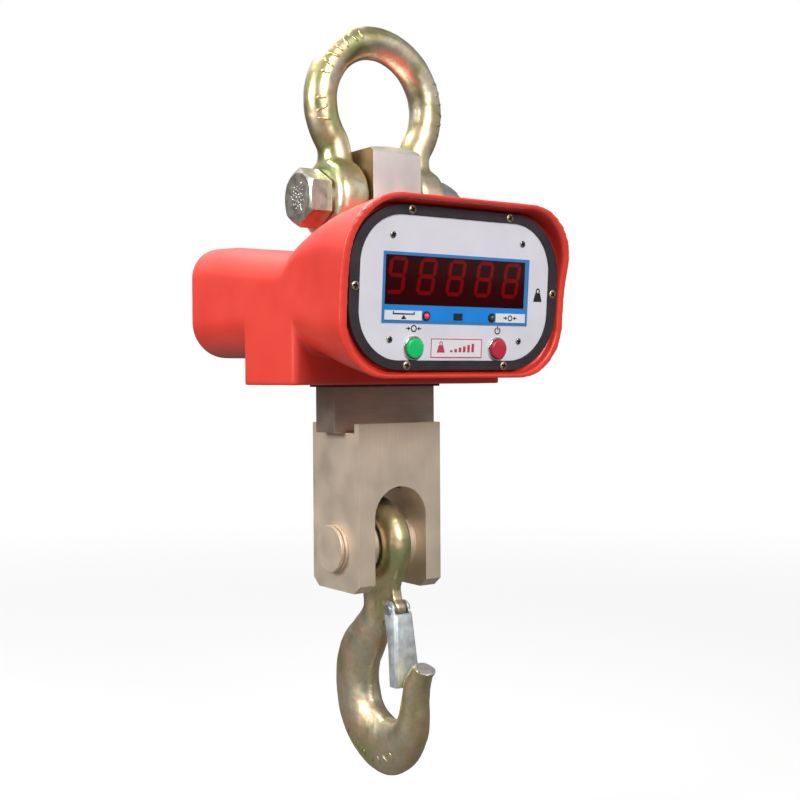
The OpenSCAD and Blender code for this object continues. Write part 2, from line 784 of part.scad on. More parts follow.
module legend_strip() color("dodgerblue") on_panel() panel_layer(strip_front, -bezel_t) difference() {
    translate([-72.5, -26]) square([144.2, 11.6]);
    led_places() circle(d = led_d);
    ir_outline();
}

module led_labels() color("white") on_panel() panel_layer(strip_front - 0.2, strip_front) {
    translate([-72.4, -25.2]) square([36, 7.4]);
    translate([39.6, -25.2]) square([32, 7.4]);
}

module display_window() color([0.35, 0.03, 0.05, 0.9]) on_panel()
    panel_layer(window_front, window_front + window_t) window_outline();

module digit_modules() color("#1a1012") on_panel() for (i = [0 : digit_count - 1])
    panel_layer(module_face, module_back)
        translate([digit_first_x - 1 + i * digit_pitch, digit_top_z - digit_h - 4])
            square([module_w, module_h]);

// One bar of a digit, pointed at both ends
module bar(length, t) polygon([
    [0, 0], [t / 2, t / 2], [length - t / 2, t / 2], [length, 0], [length - t / 2, -t / 2], [t / 2, -t / 2]
]);

// A seven-bar figure with its lower left corner at the origin, slanted to the right
module seven_bars() {
    w = digit_w - segment_t;
    h = (digit_h - segment_t) / 2;
    slant = [[1, tan(digit_slant), 0, 0], [0, 1, 0, 0], [0, 0, 1, 0], [0, 0, 0, 1]];
    multmatrix(slant) translate([segment_t / 2, segment_t / 2]) {
        for (row = [0 : 2]) translate([segment_gap, row * h]) bar(w - 2 * segment_gap, segment_t);
        for (col = [0, 1], row = [0, 1]) translate([col * w, row * h + segment_gap])
            rotate(90) bar(h - 2 * segment_gap, segment_t);
    }
}

module digit_segments() color("red") on_panel() for (i = [0 : digit_count - 1]) {
    panel_layer(module_face - 0.3, module_face)
        translate([digit_first_x + i * digit_pitch, digit_top_z - digit_h]) {
            seven_bars();
            translate([digit_w + 2, 1.6]) circle(d = 3);
        }
}

module display_board() color("darkgreen") on_panel()
    panel_layer(board_front, board_front + board_t) difference() {
        translate([-88, -34]) square([176, 82]);
        top_screw_places() circle(d = 3);
    }

// The two upper plate screws, which also hold the display board
module top_screw_places() for (x = [-1, 1]) translate([x * plate_screw_x, plate_screw_z]) children();

module board_spacers() color("silver") on_panel() {
    panel_layer(plate_t, board_front) top_screw_places() difference() {
        circle(d = 7);
        circle(d = 3);
    }
    panel_layer(board_front + board_t, driver_front)
        for (x = [-72, 72], z = [-20, 36]) translate([x, z]) circle(d = 6);
    // pin strips that the digit modules stand on
    panel_layer(module_back, board_front) for (i = [0 : digit_count - 1])
        translate([digit_first_x + 11 + i * digit_pitch, 8]) square([3, 24], center = true);
}

module driver_board() color("darkgreen") on_panel() panel_layer(driver_front, driver_front + board_t)
    translate([-80, -44]) square([160, 88]);

// A block on the back of the driver board: centre, size and height
module board_block(at, size, height)
    panel_layer(driver_front + board_t, driver_front + board_t + height)
        translate(at) square(size, center = true);

module board_parts() color("#202020") on_panel() {
    // two chips, the charge regulator, the power inductor and the load cell's connector
    for (x = [-46, 6]) board_block([x, 8], [28, 10], 3);
    board_block([-52, -24], [34, 8], 7);
    board_block([52, 24], [22, 18], 14);
    board_block([40, -39], [12, 9], 8);
    // capacitors
    panel_layer(driver_front + board_t, driver_front + board_t + 9)
        for (x = [36, 50, 64]) translate([x, -18]) circle(d = 10);
}

// Holders that clip the two lamps into the strip
module led_rings() color("#241a1c") on_panel()
    panel_layer(strip_front - led_ring_t, strip_front) led_places() difference() {
        circle(d = led_ring_d);
        circle(d = led_d);
    }

// A lamp with a domed front that stands through the bezel
module lamp(x) on_panel() translate([x, 0, led_z]) {
    rod_y(-lamp_proud, board_front, led_d);
    intersection() {
        translate([0, -lamp_proud, 0]) sphere(d = led_d);
        span([-led_d, -led_d, -led_d], [led_d, eps - lamp_proud, led_d]);
    }
}

module led_steady() color("red") lamp(led_steady_x);

module led_tare() color("green") lamp(led_tare_x);

module ir_receiver() color("#101018") on_panel() panel_layer(-1.4, board_front) ir_outline();

// A printed card with a raised border line
module capacity_label() color("white") on_panel() translate([label_at[0], 0, label_at[1]]) {
    panel_layer(-0.25, 0) square(label_size, center = true);
    panel_layer(-0.4, -0.25) difference() {
        square(label_size, center = true);
        square(label_size - [1.4, 1.4], center = true);
    }
}

// Places its children on the axis of each push button
module button_axes() on_panel() for (x = [-1, 1]) translate([x * button_x, 0, button_z]) children();

module button_rings() color("silver") button_axes() difference() {
    union() {
        translate([0, -ring_proud, 0]) rotate([-90, 0, 0]) cylinder(d1 = ring_d - 2, d2 = ring_d, h = 1);
        rod_y(-ring_proud + 1, 0, ring_d);
        rod_y(-eps, plate_t, button_d + 2);
    }
    rod_y(-10, 10, button_d + 2 * run_gap);
}

module switch_bodies() color("#181818") button_axes() difference() {
    rod_y(plate_t, plate_t + switch_depth, switch_d);
    rod_y(plate_t - 1, spring_back, button_d + 1);
}

// Closed turns that stand for each return spring
module button_springs() color("silver") button_axes()
    for (k = [0 : spring_turns - 1]) translate([0, spring_front + spring_wire / 2 + k * spring_pitch, 0])
        rotate([90, 0, 0]) rotate_extrude() translate([spring_r, 0]) circle(d = spring_wire, $fn = 16);

module button(x) on_panel() translate([x, 0, button_z]) {
    rod_y(-button_proud + 1, button_flange, button_d);
    translate([0, -button_proud, 0]) rotate([-90, 0, 0]) cylinder(d1 = button_d - 2, d2 = button_d, h = 1);
    rod_y(button_flange, spring_back - button_travel - 3.5, 7);
}

module tare_button() color("limegreen") button(-button_x);

module power_button() color("firebrick") button(button_x);

// ---- Hook ----

// Point of a Catmull-Rom curve through the list p between p[i] and p[i + 1]
function spline(p, i, t) =
    let (
        n = len(p) - 1,
        a = p[max(i - 1, 0)],
        b = p[i],
        c = p[min(i + 1, n)],
        d = p[min(i + 2, n)]
    ) 0.5 * (
        2 * b + (c - a) * t + (2 * a - 5 * b + 4 * c - d) * t * t + (3 * b - a - 3 * c + d) * t * t * t
    );

// Elliptical ring square to the curve at point i
function hook_ring(i) =
    let (
        n = len(hook_curve) - 1,
        s = hook_curve[i],
        ahead = hook_curve[min(i + 1, n)] - hook_curve[max(i - 1, 0)],
        len_a = norm([ahead[0], ahead[1]]),
        ny = -ahead[1] / len_a,
        nz = ahead[0] / len_a
    ) [for (a = [0 : 12 : 348]) [s[3] * sin(a), s[0] + ny * s[2] * cos(a), s[1] + nz * s[2] * cos(a)]];

module hook() color("darkkhaki") at_pin() difference() {
    union() {
        loft([for (i = [0 : len(hook_curve) - 1]) hook_ring(i)]);
        translate([0, 0, hook_pin_z]) rotate([0, 90, 0])
            rotate_extrude() translate([eye_r, 0]) circle(r = eye_bar_r);
        translate([0, latch_y, latch_z]) rod_x(-latch_boss_w / 2, latch_boss_w / 2, 2 * latch_boss_r);
        // web from the shank to the latch's hinge
        translate([-latch_boss_w / 2, 0, latch_z]) rotate([90, 0, 90]) linear_extrude(latch_boss_w) polygon([
            [0, -16], [-14, -14], [latch_y + 3, -7.4], [latch_y - 7.7, 2],
            [latch_y - 2, 9], [latch_y, 18], [-34, 28], [0, 30]
        ]);
        translate([-web_w / 2, 0, latch_z]) rotate([90, 0, 90]) linear_extrude(web_w)
            polygon([[0, 6], [-16, 8], [-25, 16], [-32, 28], [0, 30]]);
    }
    translate([0, latch_y, latch_z]) rod_x(-20, 20, latch_pin_d);
    // flat seat inside the tip that the latch closes against
    span([-20, latch_seat_y, latch_low_z - 6], [20, latch_seat_y + 8, -380]);
    // flat end of the tip
    translate([0, tip_cut[0], tip_cut[1]]) rotate([tip_cut_lean, 0, 0])
        translate([-20, -25, 0]) cube([40, 50, 30]);
}

module latch_pin() color("silver") at_pin() translate([0, latch_y, latch_z]) {
    rod_x(-latch_top_half - 2, latch_top_half + 2, latch_pin_d);
    for (side = [0, 1]) mirror([side, 0, 0])
        rod_x(latch_top_half + 0.6, latch_top_half + 2.1, latch_head_d);
}

// Side plate of the latch, drawn in the Y-Z plane from the hinge's height
module latch_side_outline() {
    low = latch_low_z - latch_z;
    translate([latch_y, 0]) circle(r = 7);
    polygon([
        [latch_y + 7, 0], [latch_y + 6.2, -9], [latch_y - 0.5, low],
        [latch_front_low, low], [latch_front_top, -5], [latch_y - 6, 3.6]
    ]);
}

module latch() color("silver") at_pin() difference() {
    union() {
        for (side = [0, 1]) mirror([side, 0, 0])
            translate([latch_top_half - latch_sheet, 0, latch_z]) rotate([0, -latch_taper, 0])
                rotate([90, 0, 90]) linear_extrude(latch_sheet) latch_side_outline();
        latch_front();
    }
    translate([0, latch_y, latch_z]) rod_x(-20, 20, latch_pin_d + 2 * run_gap);
}

// Front plate of the latch, narrow at the top and wide at the bottom
module latch_front() {
    drop = latch_front_z - latch_low_z;
    lean = atan((latch_front_top - latch_front_low) / drop);
    shoulder = latch_top_half + 0.1;
    translate([0, latch_front_top, latch_front_z]) rotate([-lean, 0, 0])
        translate([0, latch_sheet, 0]) rotate([90, 0, 0]) linear_extrude(latch_sheet) polygon([
            [-7.4, 0], [7.4, 0], [shoulder, -5], [latch_low_half, -drop], [-latch_low_half, -drop],
            [-shoulder, -5]
        ]);
}

module latch_spring() color("gainsboro") at_pin() {
    // two turns round the pin on each side of the hook's web, and an arm down behind the front plate
    for (side = [-1, 1], x = [5.55, 6.4]) translate([side * x, latch_y, latch_z]) rotate([0, 90, 0])
        rotate_extrude() translate([latch_pin_d / 2 + 1, 0]) circle(d = coil_wire, $fn = 16);
    for (side = [-1, 1]) translate([side * 6, latch_y - latch_pin_d / 2 - 1, latch_z]) rotate([-8, 0, 0])
        mirror([0, 0, 1]) cylinder(d = coil_wire, h = 24, $fn = 16);
}

shackle_bow();
shackle_pin();
shackle_nut();
shackle_cotter();
upper_lug();
lug_pin();
load_cell();
gauge_covers();
cell_cable();
mount_frame();
frame_screws();
lower_block();
hanger_bolt();
hook_pin();
hook_pin_circlip();
hook_spacers();
housing_shell();
top_seal();
bottom_seal();
rear_gasket();
rear_cover();
rear_screws();
charge_socket();
battery();
battery_strap();
panel_gasket();
gasket_screws();
face_plate();
plate_screws();
display_bezel();
legend_strip();
led_labels();
display_window();
digit_modules();
digit_segments();
display_board();
board_spacers();
driver_board();
board_parts();
led_rings();
led_steady();
led_tare();
ir_receiver();
capacity_label();
button_rings();
switch_bodies();
button_springs();
tare_button();
power_button();
hook();
latch_pin();
latch();
latch_spring();
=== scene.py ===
"""Crane scale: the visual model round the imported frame. Lengths in the builders are in mm."""
from math import acos, asin, cos, exp, hypot, pi, radians, sin, sqrt, tan

import bmesh
import bpy
from mathutils import Matrix, Vector, noise


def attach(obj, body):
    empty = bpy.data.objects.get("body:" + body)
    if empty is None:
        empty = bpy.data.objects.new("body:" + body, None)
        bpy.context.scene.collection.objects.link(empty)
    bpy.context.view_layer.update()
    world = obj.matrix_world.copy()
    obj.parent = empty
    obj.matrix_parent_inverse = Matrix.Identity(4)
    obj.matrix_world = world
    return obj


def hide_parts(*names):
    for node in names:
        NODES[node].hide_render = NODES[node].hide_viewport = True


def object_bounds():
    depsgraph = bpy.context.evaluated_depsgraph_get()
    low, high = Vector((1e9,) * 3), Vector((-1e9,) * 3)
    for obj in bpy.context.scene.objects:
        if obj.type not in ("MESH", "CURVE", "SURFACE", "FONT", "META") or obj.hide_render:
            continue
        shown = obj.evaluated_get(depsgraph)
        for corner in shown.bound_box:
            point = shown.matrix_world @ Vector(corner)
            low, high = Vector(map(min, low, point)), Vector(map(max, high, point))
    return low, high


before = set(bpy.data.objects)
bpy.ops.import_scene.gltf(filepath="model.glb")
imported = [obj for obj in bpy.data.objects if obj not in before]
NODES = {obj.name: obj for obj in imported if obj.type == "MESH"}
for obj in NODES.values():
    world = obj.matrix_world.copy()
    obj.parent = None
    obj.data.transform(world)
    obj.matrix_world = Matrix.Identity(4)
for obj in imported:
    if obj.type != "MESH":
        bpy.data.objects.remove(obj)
cad_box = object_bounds()
MM = 0.001
shift = Matrix.Translation


def turn(degrees, axis):
    return Matrix.Rotation(radians(degrees), 4, axis)


# Height of the shackle pin in the row frame. The load train and the housing are drawn from that pin.
PIN_Z = -126.5
AT_PIN = shift((0, 0, PIN_Z))
# Display panel: its centre and its lean about X. In its own frame, x is right, y inward, z up.
PANEL = shift((0, -118.4, PIN_Z - 82.8)) @ turn(4.25, "X")
# Turns of the lathe's axis
ALONG_X = turn(90, "Y")
ALONG_MINUS_X = turn(-90, "Y")
OUT_OF_PANEL = turn(90, "X")
INTO_PANEL = turn(-90, "X")


# ---- mesh helpers

def from_bmesh(name, bm):
    """An object from bm, which is used up."""
    mesh = bpy.data.meshes.new(name)
    bmesh.ops.recalc_face_normals(bm, faces=bm.faces)
    bm.to_mesh(mesh)
    bm.free()
    obj = bpy.data.objects.new(name, mesh)
    bpy.context.scene.collection.objects.link(obj)
    return obj


def reopened(obj):
    """The mesh of obj, ready for more shells; obj is used up."""
    bm = bmesh.new()
    bm.from_mesh(obj.data)
    bpy.data.objects.remove(obj)
    return bm


def loft(bm, rings, closed=False):
    """Skins a list of equal rings into bm, and caps both ends unless the skin closes on itself."""
    rows = [[bm.verts.new(p) for p in ring] for ring in rings]
    n = len(rows[0])
    pairs = list(zip(rows, rows[1:]))
    if closed:
        pairs.append((rows[-1], rows[0]))
    for a, b in pairs:
        for i in range(n):
            bm.faces.new((a[i], a[(i + 1) % n], b[(i + 1) % n], b[i]))
    if not closed:
        bm.faces.new(list(reversed(rows[0])))
        bm.faces.new(rows[-1])


def skin(name, rings):
    """An object that is one loft."""
    bm = bmesh.new()
    loft(bm, rings)
    return from_bmesh(name, bm)


def circle(r, n=48):
    return [(r * cos(2 * pi * i / n), r * sin(2 * pi * i / n)) for i in range(n)]


def arc(cx, cy, r, start, end, steps):
    """Points of an arc from one angle to another, in degrees."""
    angles = [radians(start + (end - start) * k / steps) for k in range(steps + 1)]
    return [(cx + r * cos(a), cy + r * sin(a)) for a in angles]


def swell(s):
    """Thickness of a raised stroke at s, from -1 at one end to 1 at the other."""
    return sqrt(max(0.0, 1 - s * s)) * 0.95 + 0.05


def lathe(bm, profile, matrix, n=64):
    """Turns (radius, height) points about the local Z axis of matrix; a radius of 0 closes the end."""
    rows = []
    for r, h in profile:
        if r <= 1e-6:
            rows.append([bm.verts.new(matrix @ Vector((0, 0, h)))])
        else:
            rows.append([bm.verts.new(matrix @ Vector((x, y, h))) for x, y in circle(r, n)])
    for a, b in zip(rows, rows[1:]):
        for i in range(n):
            j = (i + 1) % n
            if len(a) == 1 and len(b) == 1:
                continue
            if len(a) == 1:
                bm.faces.new((a[0], b[j], b[i]))
            elif len(b) == 1:
                bm.faces.new((a[i], a[j], b[0]))
            else:
                bm.faces.new((a[i], a[j], b[j], b[i]))


def prism(bm, outline, y0, y1, matrix):
    """Extrudes an (x, z) outline from depth y0 to y1 in the frame of matrix."""
    loft(bm, [[matrix @ Vector((x, y, z)) for x, z in outline] for y in (y0, y1)])


def tube(bm, path, r, n=12):
    """Round tube along a path of points, with a frame carried along it."""
    pts = [Vector(p) for p in path]
    last = len(pts) - 1
    up = None
    rings = []
    for i, p in enumerate(pts):
        d = (pts[min(i + 1, last)] - pts[max(i - 1, 0)]).normalized()
        if up is None:
            up = d.orthogonal().normalized()
        up = (up - d * up.dot(d)).normalized()
        side = d.cross(up)
        rings.append([p + up * x + side * y for x, y in circle(r, n)])
    loft(bm, rings)


def rounded_rect(w, h, r, n=10):
    pts = []
    for q, (sx, sz) in enumerate(((1, 1), (-1, 1), (-1, -1), (1, -1))):
        pts += arc(sx * (w / 2 - r), sz * (h / 2 - r), r, 90 * q, 90 * q + 90, n)
    return pts


def evaluated(obj):
    """Applies obj's modifiers to its mesh."""
    graph = bpy.context.evaluated_depsgraph_get()
    graph.update()
    mesh = bpy.data.meshes.new_from_object(obj.evaluated_get(graph))
    obj.modifiers.clear()
    obj.data = mesh


def join(a, b, operation):
    """Boolean of two closed objects, into a; b is used up."""
    mod = a.modifiers.new("b", "BOOLEAN")
    mod.operation = operation
    mod.object = b
    mod.solver = "EXACT"
    evaluated(a)
    bpy.data.objects.remove(b)


def bore(obj, r, reach, y, z, n):
    """Cuts a round hole along X through obj."""
    cut = bmesh.new()
    profile = [(0, -reach), (r, -reach), (r, reach), (0, reach)]
    lathe(cut, profile, shift((0, y, z)) @ ALONG_X, n)
    join(obj, from_bmesh("bore", cut), "DIFFERENCE")


def weld(obj, voxel, rounds):
    """Forges closed overlapping shells into one skin with blended corners."""
    mod = obj.modifiers.new("v", "REMESH")
    mod.mode = "VOXEL"
    mod.voxel_size = voxel
    mod.use_smooth_shade = True
    smooth = obj.modifiers.new("s", "SMOOTH")
    smooth.factor = 0.5
    smooth.iterations = rounds
    evaluated(obj)


def ripple(obj, depth, size, seed):
    """Moves the surface in and out by a little noise, as forging and casting leave it."""
    mesh = obj.data
    normals = [v.normal.copy() for v in mesh.vertices]
    for v, n in zip(mesh.vertices, normals):
        p = v.co / size + Vector((seed, seed * 1.7, seed * 0.3))
        v.co += n * depth * noise.fractal(p, 1.0, 2.0, 3)


def shade(obj, angle=35.0):
    """Smooth shading, with edges sharper than the angle kept hard."""
    mesh = obj.data
    mesh.polygons.foreach_set("use_smooth", [True] * len(mesh.polygons))
    mesh.set_sharp_from_angle(angle=radians(angle))
    mesh.update()


def place(obj, matrix, body, nodes, mats, angle=35.0):
    """Finishes a piece: shading, materials, body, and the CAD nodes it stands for.

    The matrix says in which frame the mesh was drawn, in mm; None means the row frame, in metres.
    A second material is used where the faces ask for it. Without an angle, the shading stays as it is.
    """
    if matrix:
        obj.data.transform(Matrix.Scale(MM, 4) @ matrix)
    if angle:
        shade(obj, angle)
    mesh = obj.data
    index = [p.material_index if len(mats) > 1 else 0 for p in mesh.polygons]
    mesh.materials.clear()
    for mat in mats:
        mesh.materials.append(mat)
    mesh.polygons.foreach_set("material_index", index)
    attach(obj, body)
    if nodes:
        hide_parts(*nodes)


def refine(node, width, mat, body):
    """A copy of a CAD node with its hard edges broken over that width, standing for the node."""
    src = NODES[node].data
    bm = bmesh.new()
    verts = [bm.verts.new(v.co) for v in src.vertices]
    for p in src.polygons:
        ids = list(dict.fromkeys(p.vertices))
        if len(ids) > 2:
            try:
                bm.faces.new([verts[i] for i in ids])
            except ValueError:
                pass
    bmesh.ops.remove_doubles(bm, verts=bm.verts, dist=2e-6)
    bmesh.ops.dissolve_limit(bm, angle_limit=radians(0.6), verts=bm.verts, edges=bm.edges)
    bm.normal_update()
    hard = [e for e in bm.edges if e.is_manifold and e.calc_face_angle(0) > radians(28)]
    if width > 0:
        bmesh.ops.bevel(bm, geom=hard, offset=width * MM, segments=3, profile=0.5,
                        affect="EDGES", clamp_overlap=True)
    obj = from_bmesh(node + "_detail", bm)
    shade(obj)
    flats = obj.modifiers.new("w", "WEIGHTED_NORMAL")
    flats.keep_sharp = True
    flats.weight = 90
    evaluated(obj)
    place(obj, None, body, [node], (mat,), None)


# ---- materials

def set_ramp(node, stops):
    """Gives a colour ramp its (position, colour) stops."""
    elements = node.color_ramp.elements
    while len(elements) < len(stops):
        elements.new(0.5)
    for e, (at, color) in zip(elements, stops):
        e.position = at
        e.color = (*color, 1)


def times(color, factor):
    return tuple(min(1, c * factor) for c in color)


class Finish:
    """A Principled material whose patterns live in object space, in metres."""

    def __init__(self, name, color, rough, metal=0.0, **sockets):
        self.m = bpy.data.materials.new(name)
        self.m.use_nodes = True
        self.t = self.m.node_tree
        self.link = self.t.links.new
        self.p = self.t.nodes["Principled BSDF"]
        self.p.inputs["Base Color"].default_value = (*color, 1)
        self.p.inputs["Roughness"].default_value = rough
        self.p.inputs["Metallic"].default_value = metal
        for key, value in sockets.items():
            self.p.inputs[key.replace("_", " ")].default_value = value
        self.coords = self.t.nodes.new("ShaderNodeTexCoord")
        self.heights = []

    def node(self, kind, **values):
        n = self.t.nodes.new("ShaderNode" + kind)
        for key, value in values.items():
            setattr(n, key, value)
        return n

    def noise(self, scale, detail=3.0, stretch=(1, 1, 1)):
        """Noise of about 1 / scale metres, stretched along an axis by a small factor there."""
        mapping = self.node("Mapping")
        mapping.inputs["Scale"].default_value = stretch
        self.link(self.coords.outputs["Object"], mapping.inputs["Vector"])
        n = self.node("TexNoise")
        n.inputs["Scale"].default_value = scale
        n.inputs["Detail"].default_value = detail
        n.inputs["Roughness"].default_value = 0.55
        self.link(mapping.outputs["Vector"], n.inputs["Vector"])
        return n.outputs["Fac"]

    def ramp(self, fac, stops):
        n = self.node("ValToRGB")
        set_ramp(n, stops)
        self.link(fac, n.inputs["Fac"])
        return n.outputs["Color"]

    def mix(self, fac, a, b):
        n = self.node("MixRGB")
        for socket, value in zip(n.inputs, (fac, a, b)):
            if hasattr(value, "links"):
                self.link(value, socket)
            else:
                socket.default_value = (*value, 1)
        return n.outputs["Color"]

    def span(self, fac, low, high, lo=0.3, hi=0.7):
        """Maps fac between lo and hi onto low to high."""
        n = self.node("MapRange")
        n.inputs["From Min"].default_value = lo
        n.inputs["From Max"].default_value = hi
        n.inputs["To Min"].default_value = low
        n.inputs["To Max"].default_value = high
        self.link(fac, n.inputs["Value"])
        return n.outputs["Result"]

    def color(self, socket):
        self.link(socket, self.p.inputs["Base Color"])

    def rough(self, socket):
        self.link(socket, self.p.inputs["Roughness"])

    def bump(self, height, depth, strength=1.0):
        """Adds relief of that depth in metres on top of what is there."""
        n = self.node("Bump")
        n.inputs["Distance"].default_value = depth
        n.inputs["Strength"].default_value = strength
        self.link(height, n.inputs["Height"])
        if self.heights:
            self.link(self.heights[-1], n.inputs["Normal"])
        self.heights.append(n.outputs["Normal"])
        self.link(n.outputs["Normal"], self.p.inputs["Normal"])


def yellow_zinc(name, gold, pale, pink, green, rough):
    """Zinc with a yellow passivation, whose hue wanders from gold to green and pink."""
    f = Finish(name, gold, rough, 1.0, Coat_Weight=0.35, Coat_Roughness=0.28, Coat_IOR=1.6)
    wide = f.noise(22, 2.0)
    patch = f.noise(48, 3.0)
    fine = f.noise(380, 4.0)
    base = f.ramp(wide, [(0.30, green), (0.46, gold), (0.58, pale), (0.72, gold)])
    base = f.mix(f.span(patch, 0.0, 0.8, 0.46, 0.68), base, pink)
    base = f.mix(f.span(fine, 0.0, 0.35, 0.45, 0.75), base, times(gold, 0.62))
    f.color(base)
    f.rough(f.span(patch, rough - 0.07, rough + 0.10))
    f.bump(f.noise(240, 3.0), 0.00030, 0.35)
    f.bump(f.noise(900, 2.0), 0.00008, 0.30)
    return f.m


def steel(name, color, rough, grain=(1, 1, 0.04), stain=0.18, streak=0.30, side=None):
    """Machined or brushed steel with its grain along the axis that is shrunk.

    Faces that look sideways along X can be mixed toward a painted tone that stands for the shade and dark
    reflection they get.
    """
    f = Finish(name, color, rough, 1.0)
    lines = f.noise(900, 2.0, grain)
    cloud = f.noise(26, 3.0)
    light = times(color, 1 + stain * 0.6)
    base = f.ramp(cloud, [(0.32, times(color, 1 - stain)), (0.52, color), (0.70, light)])
    base = f.mix(f.span(lines, 0.0, streak), base, times(color, 0.6))
    if side:
        # painted shade and reflection: faces looking along X take the side tone
        split = f.node("SeparateXYZ")
        f.link(f.coords.outputs["Normal"], split.inputs[0])
        across = f.node("Math", operation="ABSOLUTE")
        f.link(split.outputs["X"], across.inputs[0])
        base = f.mix(f.span(across.outputs[0], 0.0, 1.0, 0.6, 0.9), base, side)
    f.color(base)
    f.rough(f.span(cloud, rough - 0.06, rough + 0.08))
    f.bump(lines, 0.00004, 0.5)
    return f.m


def zinc(name, color=(0.66, 0.68, 0.68), rough=0.30):
    """Plated or bare metal with a faint spangle."""
    f = Finish(name, color, rough, 1.0)
    spangle = f.noise(160, 3.0)
    f.color(f.ramp(spangle, [(0.30, times(color, 0.86)), (0.55, color), (0.75, times(color, 1.12))]))
    f.rough(f.span(spangle, rough - 0.06, rough + 0.10))
    f.bump(f.noise(1200, 2.0), 0.00004, 0.35)
    return f.m


def plastic(name, color, rough, **sockets):
    f = Finish(name, color, rough, 0.0, **sockets)
    cloud = f.noise(40, 3.0)
    f.color(f.ramp(cloud, [(0.35, times(color, 0.94)), (0.65, color)]))
    f.rough(f.span(cloud, rough - 0.04, rough + 0.05))
    f.bump(f.noise(700, 3.0), 0.00002, 0.5)
    return f.m


def paint_red():
    """Sprayed enamel on a cast housing: an even red with a fine orange peel."""
    f = Finish("red_paint", (0.84, 0.05, 0.03), 0.42, 0.0, Specular_IOR_Level=0.45, Coat_Weight=0.5,
               Coat_Roughness=0.30)
    cloud = f.noise(14, 3.0)
    speck = f.noise(520, 4.0)
    base = f.ramp(cloud, [(0.35, (0.80, 0.042, 0.024)), (0.65, (0.88, 0.058, 0.036))])
    f.color(f.mix(f.span(speck, 0.0, 0.10, 0.55, 0.75), base, (0.92, 0.16, 0.12)))
    f.rough(f.span(cloud, 0.36, 0.46))
    f.bump(f.noise(330, 2.0), 0.00010, 0.30)
    f.bump(f.noise(70, 2.0), 0.00025, 0.20)
    return f.m


def rubber(name, color=(0.028, 0.027, 0.032)):
    f = Finish(name, color, 0.62, 0.0)
    dust = f.noise(60, 4.0)
    f.color(f.ramp(dust, [(0.35, times(color, 0.75)), (0.7, times(color, 1.5))]))
    f.rough(f.span(dust, 0.55, 0.72))
    f.bump(f.noise(1600, 2.0), 0.00005, 0.5)
    return f.m


def printed(name, color):
    """Screen-printed or laminated panel skin with faint wear."""
    rough = 0.34
    f = Finish(name, color, rough, 0.0, Coat_Weight=0.2, Coat_Roughness=0.15)
    haze = f.noise(34, 5.0)
    f.color(f.ramp(haze, [(0.30, times(color, 0.93)), (0.62, color)]))
    f.rough(f.span(haze, rough - 0.05, rough + 0.08))
    f.bump(f.noise(420, 3.0), 0.00003, 0.3)
    return f.m


def glow(name, color, strength, rough=0.25, **sockets):
    """Plastic lit from inside."""
    f = Finish(name, color, rough, 0.0, **sockets)
    f.p.inputs["Emission Color"].default_value = (*color, 1)
    f.p.inputs["Emission Strength"].default_value = strength
    f.rough(f.span(f.noise(300, 2.0), rough - 0.05, rough + 0.08))
    return f.m


def clear_red():
    """Red filter glass of the display, very slightly wavy."""
    f = Finish("red_window", (0.30, 0.006, 0.018), 0.06, 0.0, Transmission_Weight=0.92, IOR=1.49)
    f.bump(f.noise(60, 2.0), 0.00002, 0.15)
    return f.m


BOW_ZINC = yellow_zinc("bow_zinc", gold=(0.66, 0.58, 0.28), pale=(0.95, 0.92, 0.72),
                       pink=(0.90, 0.68, 0.50), green=(0.60, 0.66, 0.30), rough=0.36)
HOOK_ZINC = yellow_zinc("hook_zinc", gold=(0.72, 0.62, 0.34), pale=(0.78, 0.72, 0.54),
                        pink=(0.76, 0.50, 0.36), green=(0.50, 0.60, 0.26), rough=0.40)
BRIGHT_ZINC = zinc("bright_zinc")
HEAD_ZINC = zinc("head_zinc", (0.58, 0.55, 0.47), 0.36)
LATCH_ZINC = zinc("latch_zinc", (0.88, 0.95, 0.98), 0.50)
TIP_STEEL = zinc("tip_steel", (0.90, 0.90, 0.90), 0.45)
# painted shade for the insides of the screws' cross recesses
RECESS_PAINTED_SHADE = zinc("screw_recess_painted_shade", (0.05, 0.04, 0.03), 0.6)
NICKEL = steel("nickel_steel", (0.84, 0.72, 0.59), 0.62, stain=0.06, streak=0.10)
# the side tone is the painted shade and reflection of the shackle's ear on the lug's side faces
LUG_STEEL = steel("lug_steel", (0.97, 0.93, 0.91), 0.46, (1, 1, 0.05), stain=0.05, streak=0.06,
                  side=(0.30, 0.23, 0.12))
CELL_STEEL = steel("cell_steel", (0.62, 0.49, 0.41), 0.46, (0.05, 1, 1))
BLACK_OXIDE = steel("black_oxide", (0.09, 0.09, 0.09), 0.42)
PLAIN = zinc("plain_steel", (0.62, 0.62, 0.60), 0.32)
DULL = zinc("dull_steel", (0.42, 0.41, 0.39), 0.42)
RED = paint_red()
RUBBER = rubber("black_rubber")
GASKET = rubber("gasket_rubber", (0.024, 0.017, 0.024))
PLATE = printed("white_plate", (0.80, 0.79, 0.88))
BLUE = printed("blue_frame", (0.045, 0.24, 0.58))
STRIP = printed("blue_strip", (0.012, 0.26, 0.82))
LABEL = printed("label_white", (0.86, 0.86, 0.90))
MAGENTA = printed("label_magenta", (0.60, 0.05, 0.13))
INK = printed("black_ink", (0.02, 0.02, 0.024))
WINDOW = clear_red()
DIGIT_BLACK = plastic("digit_black", (0.030, 0.008, 0.012), 0.5)
LIT = glow("digit_red", (0.64, 0.03, 0.06), 0.75)
UNLIT = plastic("digit_dark", (0.12, 0.008, 0.014), 0.4)
BOARD = plastic("board_green", (0.015, 0.16, 0.06), 0.35)
CHIP = plastic("part_black", (0.02, 0.02, 0.022), 0.4)
LAMP_RED = glow("lamp_red", (0.90, 0.03, 0.09), 0.30, 0.14, Coat_Weight=0.4)
LAMP_GREEN = plastic("lamp_green", (0.012, 0.09, 0.05), 0.14, Coat_Weight=0.6)
